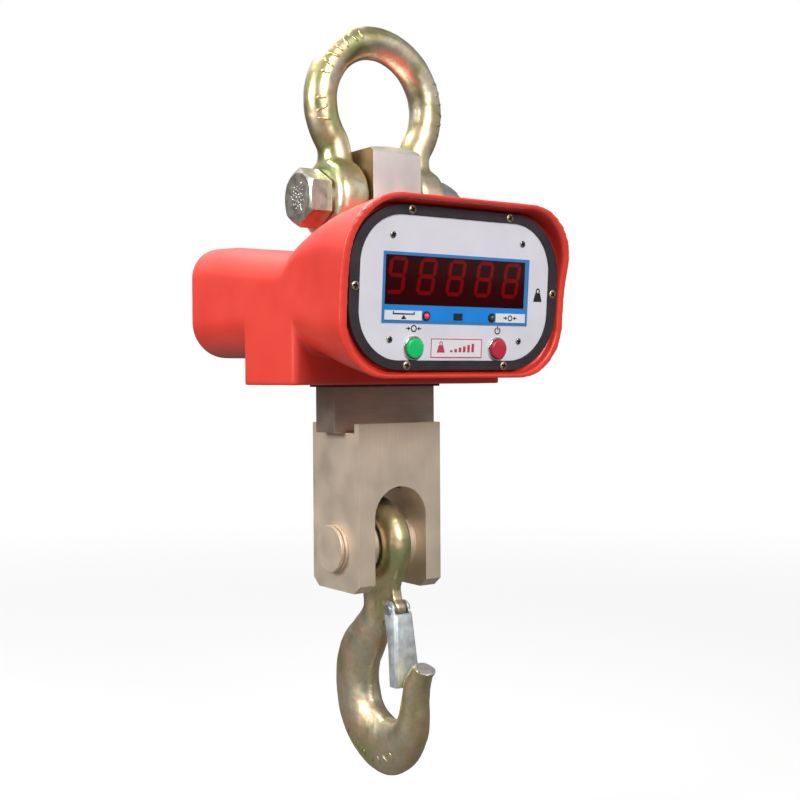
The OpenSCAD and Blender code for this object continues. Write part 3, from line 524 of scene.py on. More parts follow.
BUTTON_GREEN = plastic("button_green", (0.008, 0.62, 0.17), 0.3, Coat_Weight=0.25)
BUTTON_RED = plastic("button_red", (0.58, 0.03, 0.06), 0.3, Coat_Weight=0.25)
CHROME = zinc("ring_chrome", (0.80, 0.79, 0.76), 0.14)
BRASS = zinc("brass_screw", (0.66, 0.55, 0.38), 0.42)
BATTERY = plastic("battery_case", (0.04, 0.04, 0.05), 0.5)


# ---- shackle

# Bow: bar radius, radius and centre of the round part, then where the legs stand and how they bend
BAR_R = 14.5
BOW_R = 56.0
BOW_C = BAR_R - PIN_Z - BOW_R
LEG_X = 41.5
BEND_R = 30.0
KNEE = acos((LEG_X + BEND_R) / (BOW_R + BEND_R))
KNEE_Z = BOW_C - (BOW_R + BEND_R) * sin(KNEE)
# Ears: radius, inner face, thickness, rounding of the rims, bore
EAR_R = 35.5
EAR_IN = 26.0
EAR_T = 31.0
EAR_ROUND = 8.0
PIN_BORE_R = 16.05
# Where the leg begins to widen into the ear, how much it gains there and how soon that fades
EAR_NECK_Z = 20.0
EAR_NECK_GAIN = 14.0
EAR_NECK_FADE = 9.0
# Raised strokes: first station of the line, how many, stations between two, turn toward the outside
BOW_MARKS = ((80, 7, 4, 0.42), (114, 3, 4, 0.45), (18, 6, 4, 0.55))


def bow_line(steps=40):
    """Centre line of the bow as (x, z, angle of travel), from one ear to the other."""
    half = [(LEG_X, 10.0, pi / 2), (LEG_X, KNEE_Z * 0.6, pi / 2), (LEG_X, KNEE_Z, pi / 2)]
    for k in range(1, 9):
        a = KNEE * k / 8
        half.append((LEG_X + BEND_R * (1 - cos(a)), KNEE_Z + BEND_R * sin(a), pi / 2 - a))
    for k in range(1, steps + 1):
        a = -KNEE + (pi / 2 + KNEE) * k / steps
        half.append((BOW_R * cos(a), BOW_C + BOW_R * sin(a), pi / 2 + a))
    return half + [(-x, z, 2 * pi - t) for x, z, t in reversed(half[:-1])]


def bow_ear(bm, side):
    """A disc with rounded rims."""
    r = EAR_R - EAR_ROUND
    profile = [(0, 0)]
    profile += arc(r, EAR_ROUND, EAR_ROUND, -90, 0, 8)
    profile += arc(r, EAR_T - EAR_ROUND, EAR_ROUND, 0, 90, 8)
    profile.append((0, EAR_T))
    lathe(bm, profile, Matrix.Diagonal((side, 1, 1, 1)) @ shift((EAR_IN, 0, 0)) @ ALONG_X)


def bow_neck(bm, side):
    """The bar widens front to back where it flows into the ear."""
    rings = []
    for k in range(13):
        z = EAR_NECK_Z + 3.2 * k
        lean = asin(max(0.0, z - KNEE_Z) / BEND_R)
        x = LEG_X + BEND_R * (1 - cos(lean))
        wide = BAR_R - 0.2 + EAR_NECK_GAIN * exp((EAR_NECK_Z - z) / EAR_NECK_FADE)
        rings.append([(side * (x + BAR_R * u), wide * v, z) for u, v in circle(1, 40)])
    loft(bm, rings)


def bow_mark(bm, station, k, turn):
    """One raised stroke across the bar, bent to its surface."""
    x, z, t = station
    out = Vector((sin(t), 0, -cos(t)))
    along = Vector((cos(t), 0, sin(t)))
    front = Vector((0, -1, 0))
    n = (out * turn + front * sqrt(1 - turn * turn)).normalized()
    cross = along.cross(n).normalized()
    stroke = (cross + along * (0.0, 0.4, -0.35)[k % 3]).normalized()
    other = n.cross(stroke).normalized()
    length = 6.2 if k % 3 else 4.4
    rings = []
    for j in range(9):
        s = -1 + 2 * j / 8
        q = swell(s)
        drop = (s * length) ** 2 / (2 * BAR_R)
        c = Vector((x, 0, z)) + n * (BAR_R - 0.25 - drop) + stroke * (s * length)
        rings.append([c + other * (1.5 * q * u) + n * (0.9 * q * v) for u, v in circle(1, 16)])
    loft(bm, rings)


def build_bow():
    bm = bmesh.new()
    loft(bm, [[(x + BAR_R * u * sin(t), BAR_R * v, z - BAR_R * u * cos(t)) for u, v in circle(1)]
              for x, z, t in bow_line()])
    for side in (-1, 1):
        bow_ear(bm, side)
        bow_neck(bm, side)
    bow = from_bmesh("shackle_bow_skin", bm)
    weld(bow, 1.25, 20)
    bore(bow, PIN_BORE_R, 60, 0, 0, 96)
    ripple(bow, 0.22, 11.0, 3.0)
    # plain strokes where a forging carries its marks
    bm = reopened(bow)
    line = bow_line(60)
    for first, count, step, turn in BOW_MARKS:
        for k in range(count):
            bow_mark(bm, line[first + k * step], k, turn)
    bow = from_bmesh("shackle_bow_detail", bm)
    place(bow, AT_PIN, "shackle", ["shackle_bow"], (BOW_ZINC,), 50)


# ---- hook

# Hook's bar: y and z of its centre, half size in the hook's plane, half size across
HOOK_PATH = [
    (0, -332, 11, 11.5), (-2, -345, 12.5, 11.5), (-1, -358, 14.5, 12), (4, -371, 18, 13),
    (14, -386, 21.5, 14.5), (27, -402, 24.5, 15.5), (32.5, -425, 26, 16), (27, -450, 26.5, 16.5),
    (12.5, -467.5, 27, 16.5), (-12, -477.2, 26.5, 16), (-34.5, -471.8, 22.3, 15), (-49, -458.8, 17.6, 14),
    (-55, -443.5, 14.4, 13), (-57, -429, 12.6, 12), (-59.5, -416.5, 11.6, 11.4), (-65, -405.5, 10.2, 10.4),
    (-70, -400.5, 8.8, 9.4), (-75.5, -395, 8.8, 9.4),
]
# Eye: height, radius of its bar, radius of its centre line, bore for the hook pin
EYE_Z = -301.0
EYE_BAR = 12.6
EYE_R = 30.65
EYE_BORE_R = 18.06
# Latch hinge: place, pin hole in the hook, and the boss it goes through
LATCH_Y = -30.3
LATCH_Z = -354.0
HINGE_BORE_R = 3.02
BOSS_R = 8.0
BOSS_HALF = 5.0
# Cut end of the tip, its lean, and the seat inside the tip that the latch closes against
TIP_CUT = (0, -70, -398.4)
TIP_LEAN = 22
SEAT_Y = -48.1
# Fill between the eye and the hinge: height above the hinge, front and back
FORK_HALF = 10.5
FORK = ((30, -34.5, 8), (26, -34, 9), (20, -32, 10), (15, -30.5, 10), (10.5, -28, 10), (7, -21, 10),
        (2, -17, 10), (-6, -15, 10))
# Cheeks under the eye: height, y of the centre, radius
CHEEKS = ((-328, 0, 9.0), (-334, 0, 12.0), (-342, -1, 12.8), (-352, -1, 12.4), (-362, 0, 12.6))


def spline(p, i, t):
    """Catmull-Rom curve through the points p, at t between p[i] and the next."""
    n = len(p) - 1
    a, b, c, d = (p[max(i - 1, 0)], p[i], p[min(i + 1, n)], p[min(i + 2, n)])
    return tuple(0.5 * (2 * b[k] + (c[k] - a[k]) * t + (2 * a[k] - 5 * b[k] + 4 * c[k] - d[k]) * t * t
                        + (3 * b[k] - a[k] - 3 * c[k] + d[k]) * t ** 3) for k in range(len(b)))


def smooth_path(p, steps):
    return [spline(p, i, k / steps) for i in range(len(p) - 1) for k in range(steps)] + [tuple(p[-1])]


def hook_point(s, ny, nz, q):
    """Surface point of the hook's bar at station s; q is 0 outside and -90 degrees toward -X."""
    return (s[3] * sin(q), s[0] + ny * s[2] * cos(q), s[1] + nz * s[2] * cos(q))


def hook_bar(curve):
    """The shank, bowl and tip, with the tip's end cut flat."""
    rings = []
    for i, s in enumerate(curve):
        a, b = curve[max(i - 1, 0)], curve[min(i + 1, len(curve) - 1)]
        dy, dz = b[0] - a[0], b[1] - a[1]
        size = hypot(dy, dz)
        rings.append([hook_point(s, -dz / size, dy / size, 2 * pi * k / 56) for k in range(56)])
    bar = skin("bar", rings)
    slant = shift(TIP_CUT) @ turn(TIP_LEAN, "X")
    corners = ((-25, -30), (25, -30), (25, 30), (-25, 30))
    end = skin("end", [[slant @ Vector((x, y, z)) for x, y in corners] for z in (0, 30)])
    join(bar, end, "DIFFERENCE")
    return reopened(bar)


def hook_eye(bm):
    """The ring round the hook pin."""
    rings = []
    for k in range(96):
        c, s = cos(2 * pi * k / 96), sin(2 * pi * k / 96)
        rings.append([(EYE_BAR * u, (EYE_R + EYE_BAR * v) * c, EYE_Z + (EYE_R + EYE_BAR * v) * s)
                      for u, v in circle(1, 40)])
    loft(bm, rings, closed=True)


def hook_neck(bm):
    """Everything between the eye, the shank and the latch's hinge."""
    loft(bm, [[(r * u, y + r * v, z) for u, v in circle(1, 32)] for z, y, r in CHEEKS])
    edge = 0.8
    profile = [(0, -BOSS_HALF), (BOSS_R - edge, -BOSS_HALF), (BOSS_R, edge - BOSS_HALF),
               (BOSS_R, BOSS_HALF - edge), (BOSS_R - edge, BOSS_HALF), (0, BOSS_HALF)]
    lathe(bm, profile, shift((0, LATCH_Y, LATCH_Z)) @ ALONG_X, 48)
    web = [(0, -370), (-14, -368), (LATCH_Y + 3, LATCH_Z - 7.4), (LATCH_Y - 6.4, LATCH_Z + 2),
           (LATCH_Y - 2, LATCH_Z + 9), (LATCH_Y, LATCH_Z + 18), (-34, LATCH_Z + 28), (0, LATCH_Z + 30)]
    loft(bm, [[(x, y, z) for y, z in web] for x in (-BOSS_HALF, BOSS_HALF)])
    # thicker and shorter slabs round the web, which the smoothing turns into fillets
    for k in range(3):
        half = BOSS_HALF + 1.5 + 1.5 * k
        loft(bm, [[(x, y * (0.72 - 0.16 * k), z) for y, z in web] for x in (-half, half)])
    loft(bm, [[(FORK_HALF * u, (back + front) / 2 + (back - front) / 2 * v, LATCH_Z + up)
               for u, v in circle(1, 32)] for up, front, back in FORK])


def hook_marks(bm, curve):
    """Plain raised strokes low on the side of the bowl."""
    low = min(range(len(curve)), key=lambda i: curve[i][1])
    q, spacing = radians(-66), 4.4
    run = 0.0
    for i in range(low - 10, low + 6):
        s, after = curve[i], curve[i + 1]
        along = Vector((0, after[0] - s[0], after[1] - s[1]))
        run += along.length
        if run < spacing:
            continue
        run = 0.0
        along.normalize()
        ny, nz = -along.z, along.y
        spot = Vector(hook_point(s, ny, nz, q))
        n = Vector((sin(q) / s[3], ny * cos(q) / s[2], nz * cos(q) / s[2])).normalized()
        cross = (n.cross(along).normalized() + along * (0.35, -0.3, 0.0)[i % 3]).normalized()
        other = n.cross(cross).normalized()
        rings = []
        for e, w in ((-1, 0.1), (-0.7, 0.75), (0, 1), (0.7, 0.75), (1, 0.1)):
            c = spot + cross * (4.6 * e) + n * (0.25 - 0.8 * e * e)
            rings.append([c + other * (1.1 * w * u) + n * (0.7 * w * v) for u, v in circle(1, 12)])
        loft(bm, rings)


def build_hook():
    curve = smooth_path(HOOK_PATH, 6)
    bm = hook_bar(curve)
    hook_eye(bm)
    hook_neck(bm)
    hook = from_bmesh("hook_skin", bm)
    weld(hook, 1.0, 9)
    bore(hook, HINGE_BORE_R, 20, LATCH_Y, LATCH_Z, 48)
    bore(hook, EYE_BORE_R, 40, 0, EYE_Z, 96)
    seat = bmesh.new()
    prism(seat, [(-20, -425), (20, -425), (20, -380), (-20, -380)], SEAT_Y, SEAT_Y + 8, Matrix.Identity(4))
    join(hook, from_bmesh("seat", seat), "DIFFERENCE")
    ripple(hook, 0.35, 14.0, 8.0)
    bm = reopened(hook)
    hook_marks(bm, curve)
    hook = from_bmesh("hook_detail", bm)
    # the tip's cut end is bare steel
    facing = Vector((0, -sin(radians(TIP_LEAN)), cos(radians(TIP_LEAN))))
    for p in hook.data.polygons:
        if p.center.y < -55 and -412 < p.center.z < -385 and p.normal.dot(facing) > 0.93:
            p.material_index = 1
    place(hook, AT_PIN, "hook", ["hook"], (HOOK_ZINC, TIP_STEEL), 42)


# Latch: sheet, foot, then half width and front face at its top and at its foot, and the ears' radius
SHEET = 1.8
LATCH_LOW_Z = -419.0
LATCH_TOP_Z = LATCH_Z - 5
LATCH_HALF = (9.2, 13.4)
LATCH_FRONT = (-41.5, -47.6)
LATCH_EAR_R = 7.0
LATCH_BORE_R = 3.05


def latch_channel(inset):
    """Rows of the U-shaped section from foot to top, set inward by inset."""
    z0, z1 = LATCH_LOW_Z - 3, LATCH_Z + 9
    rows = []
    for i in range(25):
        z = z0 + (z1 - z0) * i / 24
        s = (LATCH_TOP_Z - z) / (LATCH_TOP_Z - LATCH_LOW_Z)
        half = LATCH_HALF[0] + (LATCH_HALF[1] - LATCH_HALF[0]) * s - inset
        front = LATCH_FRONT[0] + (LATCH_FRONT[1] - LATCH_FRONT[0]) * s + inset
        back = LATCH_Y + 12
        r = 2.6 - inset
        row = [(-half, back)]
        row += arc(-half + r, front + r, r, 180, 270, 8)
        row += arc(half - r, front + r, r, 270, 360, 8)
        row.append((half, back))
        rows.append([(x, y, z) for x, y in row])
    return rows


def build_latch():
    """Pressed U-shaped channel whose flanges run back to the hinge."""
    outer, inner = latch_channel(0.0), latch_channel(SHEET)
    latch = skin("channel", [a + list(reversed(b)) for a, b in zip(outer, inner)])
    # outline of the flanges seen from the side
    side = arc(LATCH_Y, LATCH_Z, LATCH_EAR_R, -8, 180, 24)
    side += [(LATCH_Y - 7.4, LATCH_Z - 1.5), (-42.4, LATCH_Z - 6.0), (-43.2, LATCH_Z - 9),
             (LATCH_FRONT[1] - 2, LATCH_LOW_Z), (LATCH_Y - 7.5, LATCH_LOW_Z), (LATCH_Y - 2.5, LATCH_Z - 34),
             (LATCH_Y + 4.5, LATCH_Z - 11), (LATCH_Y + 6.4, LATCH_Z - 5)]
    join(latch, skin("outline", [[(x, y, z) for y, z in side] for x in (-17, 17)]), "INTERSECT")
    bore(latch, LATCH_BORE_R, 20, LATCH_Y, LATCH_Z, 40)
    bm = reopened(latch)
    bmesh.ops.dissolve_limit(bm, angle_limit=radians(0.5), verts=bm.verts, edges=bm.edges)
    hard = [e for e in bm.edges if e.is_manifold and e.calc_face_angle(0) > radians(40)]
    bmesh.ops.bevel(bm, geom=hard, offset=0.35, segments=2, profile=0.5, affect="EDGES",
                    clamp_overlap=True)
    latch = from_bmesh("latch_detail", bm)
    place(latch, AT_PIN, "latch", ["latch"], (LATCH_ZINC,), 30)


def build_latch_spring():
    """Two coils on the pin with a leg each down the inside of the front plate."""
    bm = bmesh.new()
    wire, coil = 0.5, 4.0
    inner_x, outer_x, leg_x = 5.55, 6.5, 5.9
    turns, leg_drop, leg_run = 1.75, 24, 3.6
    for side in (-1, 1):
        path = []
        for k in range(65):
            a = radians(90 + 360 * turns * k / 64)
            x = inner_x + (outer_x - inner_x) * k / 64
            path.append((side * x, LATCH_Y + coil * cos(a), LATCH_Z + coil * sin(a)))
        y, z = path[-1][1], path[-1][2]
        for k in range(1, 9):
            x = outer_x + (leg_x - outer_x) * k / 8
            path.append((side * x, y - 0.55 - leg_run * k / 8, z - leg_drop * k / 8))
        tube(bm, path, wire)
    spring = from_bmesh("latch_spring_detail", bm)
    place(spring, AT_PIN, "latch", ["latch_spring"], (PLAIN,), 60)


# ---- housing

# Housing: rear face and its rounding, half width, bottom and lower corner radius of the barrel, wall
REAR_Y = 152.0
REAR_ROUND = 14.0
BARREL_W = 109.0
BARREL_LOW = -134.5
LOW_ROUND = 33
WALL = 4.0
# The side walls thicken toward the hood's front edge from this y on
LIP = 3.2
LIP_START = -70.0
# Column over the load cell: front, rear, bottom
COLUMN_FRONT = -42.0
COLUMN_REAR = 44.0
COLUMN_LOW = -159.0
# y, half width, top, bottom, upper and lower corner radius
FLARE = [(y, BARREL_W, top, BARREL_LOW, r, LOW_ROUND) for y, top, r in (
    (100, -34, 28), (60, -39.5, 28), (10, -46.5, 26), (-18, -50, 23), (-26, -48, 21), (-35, -43.2, 20),
    (-46, -37.5, 21))]
FLARE += [
    (-56.5, 109.3, -32.3, -137, 24, 34), (-69, 110, -26.8, -141, 28, 35.5),
    (-84, 111.3, -21.4, -145.5, 34, 38), (-100, 112.7, -17.3, -150, 40, 42),
    (-114, 114, -14.4, -154, 45, 46), (-127, 115, -12, -157, 48, 48), (-140, 115.5, -10.5, -159, 50, 50),
]
# Front edge of the hood seen from the side: z and y
RIM = [(-11, -137.5), (-40, -131), (-62, -126), (-80, -122), (-110, -119), (-160, -115.8)]
# Openings of the roof and the floor: width, depth, from z, to z
OPENINGS = ((62, 82, -70, -20), (118, 42, -165, -150))


def shell_stations():
    """Sections of the housing from the rear, with its rounded edge, to the hood."""
    rear = []
    for k in range(12, -1, -1):
        a = radians(90 * k / 12)
        c, s = 1 - cos(a), 1 - sin(a)
        rear.append((REAR_Y - REAR_ROUND * s, BARREL_W - REAR_ROUND * c, -32 - REAR_ROUND * c,
                     BARREL_LOW + REAR_ROUND * c, 28 - REAR_ROUND * 0.3 * c,
                     LOW_ROUND - REAR_ROUND * 0.3 * c))
    return rear + [s for s in smooth_path(FLARE, 5) if s[0] < rear[-1][0] - 2]


def shell_ring(s, inset):
    """Outline of one section, set inward by inset."""
    y, half, top, low, r_up, r_low = s
    pts = []
    for q, (sx, up) in enumerate(((1, True), (-1, True), (-1, False), (1, False))):
        r = max((r_up if up else r_low) - inset, 3.0)
        cx = sx * (half - inset - r)
        cz = top - inset - r if up else low + inset + r
        pts += [(x, y, z) for x, z in arc(cx, cz, r, 90 * q, 90 * q + 90, 12)]
    return pts


def column(inset, z0, z1):
    """The box over the load cell, set inward by inset."""
    outline = rounded_rect(2 * BARREL_W - 2 * inset, COLUMN_REAR - COLUMN_FRONT - 2 * inset, 5.0)
    middle = (COLUMN_FRONT + COLUMN_REAR) / 2
    return skin("column", [[(x, y + middle, z) for x, y in outline] for z in (z0, z1)])


def shell_inside(stations):
    """The hollow of the housing, open through the hood."""
    rows = []
    for i, s in enumerate(stations):
        y = min(s[0], REAR_Y - WALL - 0.01 * i)
        thick = LIP * max(0.0, min(1.0, (LIP_START - s[0]) / 30))
        rows.append(shell_ring((y, s[1] - thick, *s[2:]), WALL))
    rows.append([(x, y - 8, z) for x, y, z in rows[-1]])
    return skin("inner", rows)


def panel_ledge():
    """The ledge behind the panel's gasket, a plate with a hole."""
    plates = []
    for w, h, r, y0, y1 in ((218.0, 134.0, 44.0, 4.0, 9.0), (184.0, 106.0, 30.0, 0.0, 12.0)):
        bm = bmesh.new()
        prism(bm, rounded_rect(w, h, r), y0, y1, PANEL)
        plates.append(from_bmesh("ledge", bm))
    ledge, hole = plates
    join(ledge, hole, "DIFFERENCE")
    ledge.data.transform(AT_PIN.inverted())
    return ledge


def rim_cut():
    """What is taken away in front of the visor, a curve seen from the side."""
    rim = [(y, z) for z, y in smooth_path(RIM, 6)]
    outline = [(-200, 40), (rim[0][0], 40)] + rim + [(-115, -200), (-200, -200)]
    return skin("rim", [[(x, y, z) for y, z in outline] for x in (-150, 150)])


def build_housing():
    stations = shell_stations()
    shell = skin("housing_detail", [shell_ring(s, 0) for s in stations])
    join(shell, column(0.0, COLUMN_LOW, -80.0), "UNION")
    join(shell, shell_inside(stations), "DIFFERENCE")
    join(shell, column(WALL, COLUMN_LOW + WALL, -100.0), "DIFFERENCE")
    join(shell, panel_ledge(), "UNION")
    join(shell, rim_cut(), "DIFFERENCE")
    weld(shell, 1.25, 12)
    for w, d, z0, z1 in OPENINGS:
        opening = skin("opening", [[(x, y, z) for x, y in rounded_rect(w, d, 7.0)] for z in (z0, z1)])
        join(shell, opening, "DIFFERENCE")
    ripple(shell, 0.18, 30.0, 5.0)
    place(shell, AT_PIN, "scale", ["housing_shell"], (RED,), 40)


# ---- display panel

# Figures: left edge of the first, top, pitch, width, height, bar width, slant; and the front of the bars
DIGIT_X = -71.2
DIGIT_TOP = 24.3
DIGIT_PITCH = 29.2
DIGIT_W = 17.2
DIGIT_H = 29.5
STROKE = 3.2
SLANT = 9.0
SEGMENT_Y = (2.05, 2.4)
# Buttons stand at plus and minus this x, at this z
BUTTON_X = 43
BUTTON_Z = -47.2


def panel_piece(name, shapes, y0, y1, mat, slot, nodes=()):
    """A printed or cut layer on the panel: (x, z) outlines from depth y0 to y1."""
    bm = bmesh.new()
    for outline in shapes:
        prism(bm, outline, y0, y1, Matrix.Identity(4))
    obj = from_bmesh(name, bm)
    place(obj, PANEL, "scale", list(nodes), (mat,))


def box_outline(x, z, w, h):
    return [(x, z), (x + w, z), (x + w, z + h), (x, z + h)]


def arc_band(cx, cz, r0, r1, a0, a1):
    """An arc band as one outline."""
    return arc(cx, cz, r1, a0, a1, 28) + list(reversed(arc(cx, cz, r0, a0, a1, 28)))


def arrow(x, z, way):
    """A short arrow along x that starts at x; way is 1 or -1."""
    return [(x, z + 0.42), (x + 2.0 * way, z + 0.42), (x + 2.0 * way, z + 1.5), (x + 4.2 * way, z),
            (x + 2.0 * way, z - 1.5), (x + 2.0 * way, z - 0.42), (x, z - 0.42)]


def segment_bars():
    """Outlines of a seven-bar figure; bar names run a to g from the top clockwise, g in the middle."""
    w, h = DIGIT_W - STROKE, (DIGIT_H - STROKE) / 2
    k = tan(radians(SLANT))
    half = STROKE / 2

    def bar(x, z, length, upright):
        pts = [(0, 0), (half, half), (length - half, half),
               (length, 0), (length - half, -half), (half, -half)]
        if upright:
            pts = [(-b, a) for a, b in pts]
        return [(x + half + a + k * (z + half + b), z + half + b) for a, b in pts]

    gap = 0.35
    bars = {name: bar(gap, h * row, w - 2 * gap, False) for name, row in (("a", 2), ("g", 1), ("d", 0))}
    for name, x, z in (("f", 0, h), ("b", w, h), ("e", 0, 0), ("c", w, 0)):
        bars[name] = bar(x, z + gap, h - 2 * gap, True)
    return bars


def build_digits():
    """Five figures, 98888, and the unlit point after each."""
    lit, unlit = [], []
    for i in range(5):
        x, z = DIGIT_X + DIGIT_PITCH * i, DIGIT_TOP - DIGIT_H
        for name, outline in segment_bars().items():
            target = unlit if i == 0 and name == "e" else lit
            target.append([(px + x, pz + z) for px, pz in outline])
        unlit.append([(px + x + DIGIT_W + 2, pz + z + 1.6) for px, pz in circle(1.5, 20)])
    panel_piece("digit_bars", lit, *SEGMENT_Y, LIT, "digit_red", ["digit_segments"])
    panel_piece("digit_bars_dark", unlit, *SEGMENT_Y, UNLIT, "digit_red")


def build_prints():
    """Generic signs in place of the panel's words."""
    # zeroing sign over the green button, on-off sign over the red one, weight sign beside the window
    zero = [arc_band(-43, -31.8, 1.9, 2.9, 0, 359), arrow(-50.4, -31.8, 1), arrow(-35.6, -31.8, -1)]
    power = [arc_band(43, -32.2, 2.1, 3.1, 120, 420), box_outline(42.5, -31.6, 1.0, 3.6)]
    weight = [[(81.0, -7.0), (90.4, -7.0), (88.4, 0.4), (83.0, 0.4)],
              arc_band(85.7, 2.1, 1.2, 2.3, -60, 240)]
    panel_piece("plate_signs", zero + power + weight, -0.12, 0.0, INK, "label_white")
    # on the blue strip: a level beam on its point, and the zeroing sign again
    steady = [box_outline(-63.5, -21.0, 19, 1.1), [(-54, -21.2), (-51.4, -24.6), (-56.6, -24.6)],
              box_outline(-64.6, -21.0, 1.1, 2.6), box_outline(-44.5, -21.0, 1.1, 2.6)]
    small_zero = [arc_band(55.2, -21.5, 1.6, 2.5, 0, 359), arrow(48.0, -21.5, 1), arrow(62.4, -21.5, -1)]
    panel_piece("strip_signs", steady + small_zero, -1.22, -1.1, INK, "label_white")
    # label: white ground, thin outline, a weight sign and a row of bars
    cx, cz, w, h = 0.6, -47.0, 52.4, 15.4
    x0, z0, t = cx - w / 2, cz - h / 2, 0.7
    panel_piece("capacity_ground", [box_outline(x0, z0, w, h)], -0.25, 0, LABEL, "label_white",
                ["capacity_label"])
    outline = [box_outline(x0, z0, w, t), box_outline(x0, cz + h / 2 - t, w, t),
               box_outline(x0, z0, t, h), box_outline(cx + w / 2 - t, z0, t, h)]
    sign = [[(-19.5, -50.6), (-11.5, -50.6), (-13.3, -44.6), (-17.7, -44.6)],
            arc_band(-15.5, -43.2, 0.9, 1.7, -60, 240)]
    bars = [box_outline(-6 + 4.4 * k, -50.2, 2.6, 1.6 + 1.1 * k) for k in range(6)]
    panel_piece("capacity_signs", outline + sign + bars, -0.38, -0.25, MAGENTA, "label_white")


def build_screws(node, places, r, dome, face, cross_w, mat):
    """Domed cross-head screws whose heads stand on the given face; the recess carries painted shade."""
    w, arm, rim = cross_w, r * 0.74, 0.4
    plus = [(-arm, -w), (-w, -w), (-w, -arm), (w, -arm), (w, -w), (arm, -w),
            (arm, w), (w, w), (w, arm), (-w, arm), (-w, w), (-arm, w)]
    profile = [(0, -5), (r * 0.5, -5), (r * 0.5, 0), (r, 0), (r, rim)]
    for a in range(12, 85, 12):
        profile.append((r * cos(radians(a)), rim + dome * sin(radians(a))))
    profile.append((0, rim + dome))
    merged = bmesh.new()
    for i, (x, z) in enumerate(places):
        at = shift((x, face, z))
        bm = bmesh.new()
        lathe(bm, profile, at @ OUT_OF_PANEL, 36)
        head = from_bmesh("head", bm)
        bm = bmesh.new()
        prism(bm, plus, -4, -0.15, at @ turn(17 + 43 * i, "Y"))
        join(head, from_bmesh("cross", bm), "DIFFERENCE")
        # faces down in the cross take the painted shade material
        for p in head.data.polygons:
            c = p.center - at.translation
            if c.y > -0.34 and hypot(c.x, c.z) < arm:
                p.material_index = 1
        merged.from_mesh(head.data)
        bpy.data.objects.remove(head)
    heads = from_bmesh(node + "_detail", merged)
    place(heads, PANEL, "scale", [node], (mat, RECESS_PAINTED_SHADE), 40)


def build_button(node, x, mat):
    """A cap with a soft crown and a rounded skirt."""
    r, proud, edge = 8.0, 4.6, 1.7
    profile = [(0, 10), (3.5, 10), (3.5, 5.5), (r, 5.5), (r, -proud + edge)]
    for k in range(1, 8):
        a = radians(90 * k / 8)
        profile.append((r - edge + edge * cos(a), -proud + edge - 1.4 * sin(a)))
    profile += [(4.6, -proud + 0.12), (2.4, -proud + 0.02), (0, -proud)]
    bm = bmesh.new()
    lathe(bm, profile, shift((x, 0, BUTTON_Z)) @ INTO_PANEL, 72)
    obj = from_bmesh(node + "_detail", bm)
    place(obj, PANEL, node, [node], (mat,), 40)


def build_rings():
    """The bright rings round the buttons."""
    edge = 1.1
    profile = [(9.0, 2.0), (9.0, 0.0), (9.8, 0.0), (9.8, -0.9)]
    profile += arc(9.8 - edge, -0.9, edge, 0, -90, 8)[1:]
    profile += [(8.5, -2.0), (8.1, -1.6), (8.1, 2.0), (9.0, 2.0)]
    bm = bmesh.new()
    for x in (-BUTTON_X, BUTTON_X):
        lathe(bm, profile, shift((x, 0, BUTTON_Z)) @ INTO_PANEL, 72)
    bmesh.ops.remove_doubles(bm, verts=bm.verts, dist=1e-5)
    obj = from_bmesh("button_rings_detail", bm)
    place(obj, PANEL, "scale", ["button_rings"], (CHROME,), 40)


def build_head_marks():
    """Plain raised dots and three grade strokes on the end of the pin's head."""
    washer, head = 1.5, 21
    end = shift((-(EAR_IN + EAR_T + washer + head), 0, 0))
    bm = bmesh.new()
    for k in range(3):
        spin = end @ turn(120 * k + 30, "X") @ shift((0, 0, 11)) @ ALONG_MINUS_X
        rings = []
        for j in range(7):
            s = -1 + 2 * j / 6
            q = swell(s)
            rings.append([spin @ Vector((s * 3.4, 0.9 * q * u, 0.55 * q * v)) for u, v in circle(1, 10)])
        loft(bm, rings)
    dot = [(0, -0.2), (0.75, -0.2), (0.7, 0.15), (0.45, 0.4), (0, 0.5)]
    for k in range(26):
        r, a = 1.6 + 1.15 * k ** 0.62, 2.4 * k
        spot = shift((0, r * cos(a), r * sin(a)))
        lathe(bm, dot, end @ spot @ ALONG_MINUS_X, 12)
    obj = from_bmesh("pin_head_marks", bm)
    place(obj, AT_PIN, "shackle", [], (BRIGHT_ZINC,), 50)


# ---- assemble

build_bow()
build_hook()
build_latch()
build_latch_spring()
build_housing()
build_digits()
build_prints()
build_head_marks()
corners = [(sx, sz) for sx in (-1, 1) for sz in (-1, 1)]
gasket_places = [(49.8 * sx, 61.0 * sz) for sx, sz in corners] + [(-100.8, 0), (100.8, 0)]
plate_places = [(66.2 * sx, 40.6 * sz) for sx, sz in corners]
build_screws("gasket_screws", gasket_places, r=3.5, dome=0.9, face=-1.5, cross_w=0.95, mat=BRASS)
build_screws("plate_screws", plate_places, r=2.8, dome=0.7, face=0.0, cross_w=0.78, mat=DULL)
build_button("tare_button", -BUTTON_X, BUTTON_GREEN)
build_button("power_button", BUTTON_X, BUTTON_RED)
build_rings()

# CAD nodes that only need their edges broken: width in mm and finish
BROKEN = {
    "shackle_pin": (0.5, HEAD_ZINC), "shackle_nut": (0.5, BRIGHT_ZINC), "upper_lug": (0.9, LUG_STEEL),
    "load_cell": (0.9, CELL_STEEL), "lower_block": (0.5, NICKEL), "hook_pin": (0.6, NICKEL),
    "hook_pin_circlip": (0.2, BLACK_OXIDE), "hanger_bolt": (0.8, BLACK_OXIDE),
    "hook_spacers": (0.7, NICKEL), "led_rings": (0.15, CHIP),
    "top_seal": (0.9, RUBBER), "bottom_seal": (0.9, RUBBER),
    "rear_cover": (0.8, RED), "rear_gasket": (0.0, RUBBER), "rear_screws": (0.4, PLAIN),
    "charge_socket": (0.4, CHROME), "panel_gasket": (0.9, GASKET), "face_plate": (0.35, PLATE),
    "display_bezel": (0.12, BLUE), "latch_pin": (0.4, BRIGHT_ZINC),
}
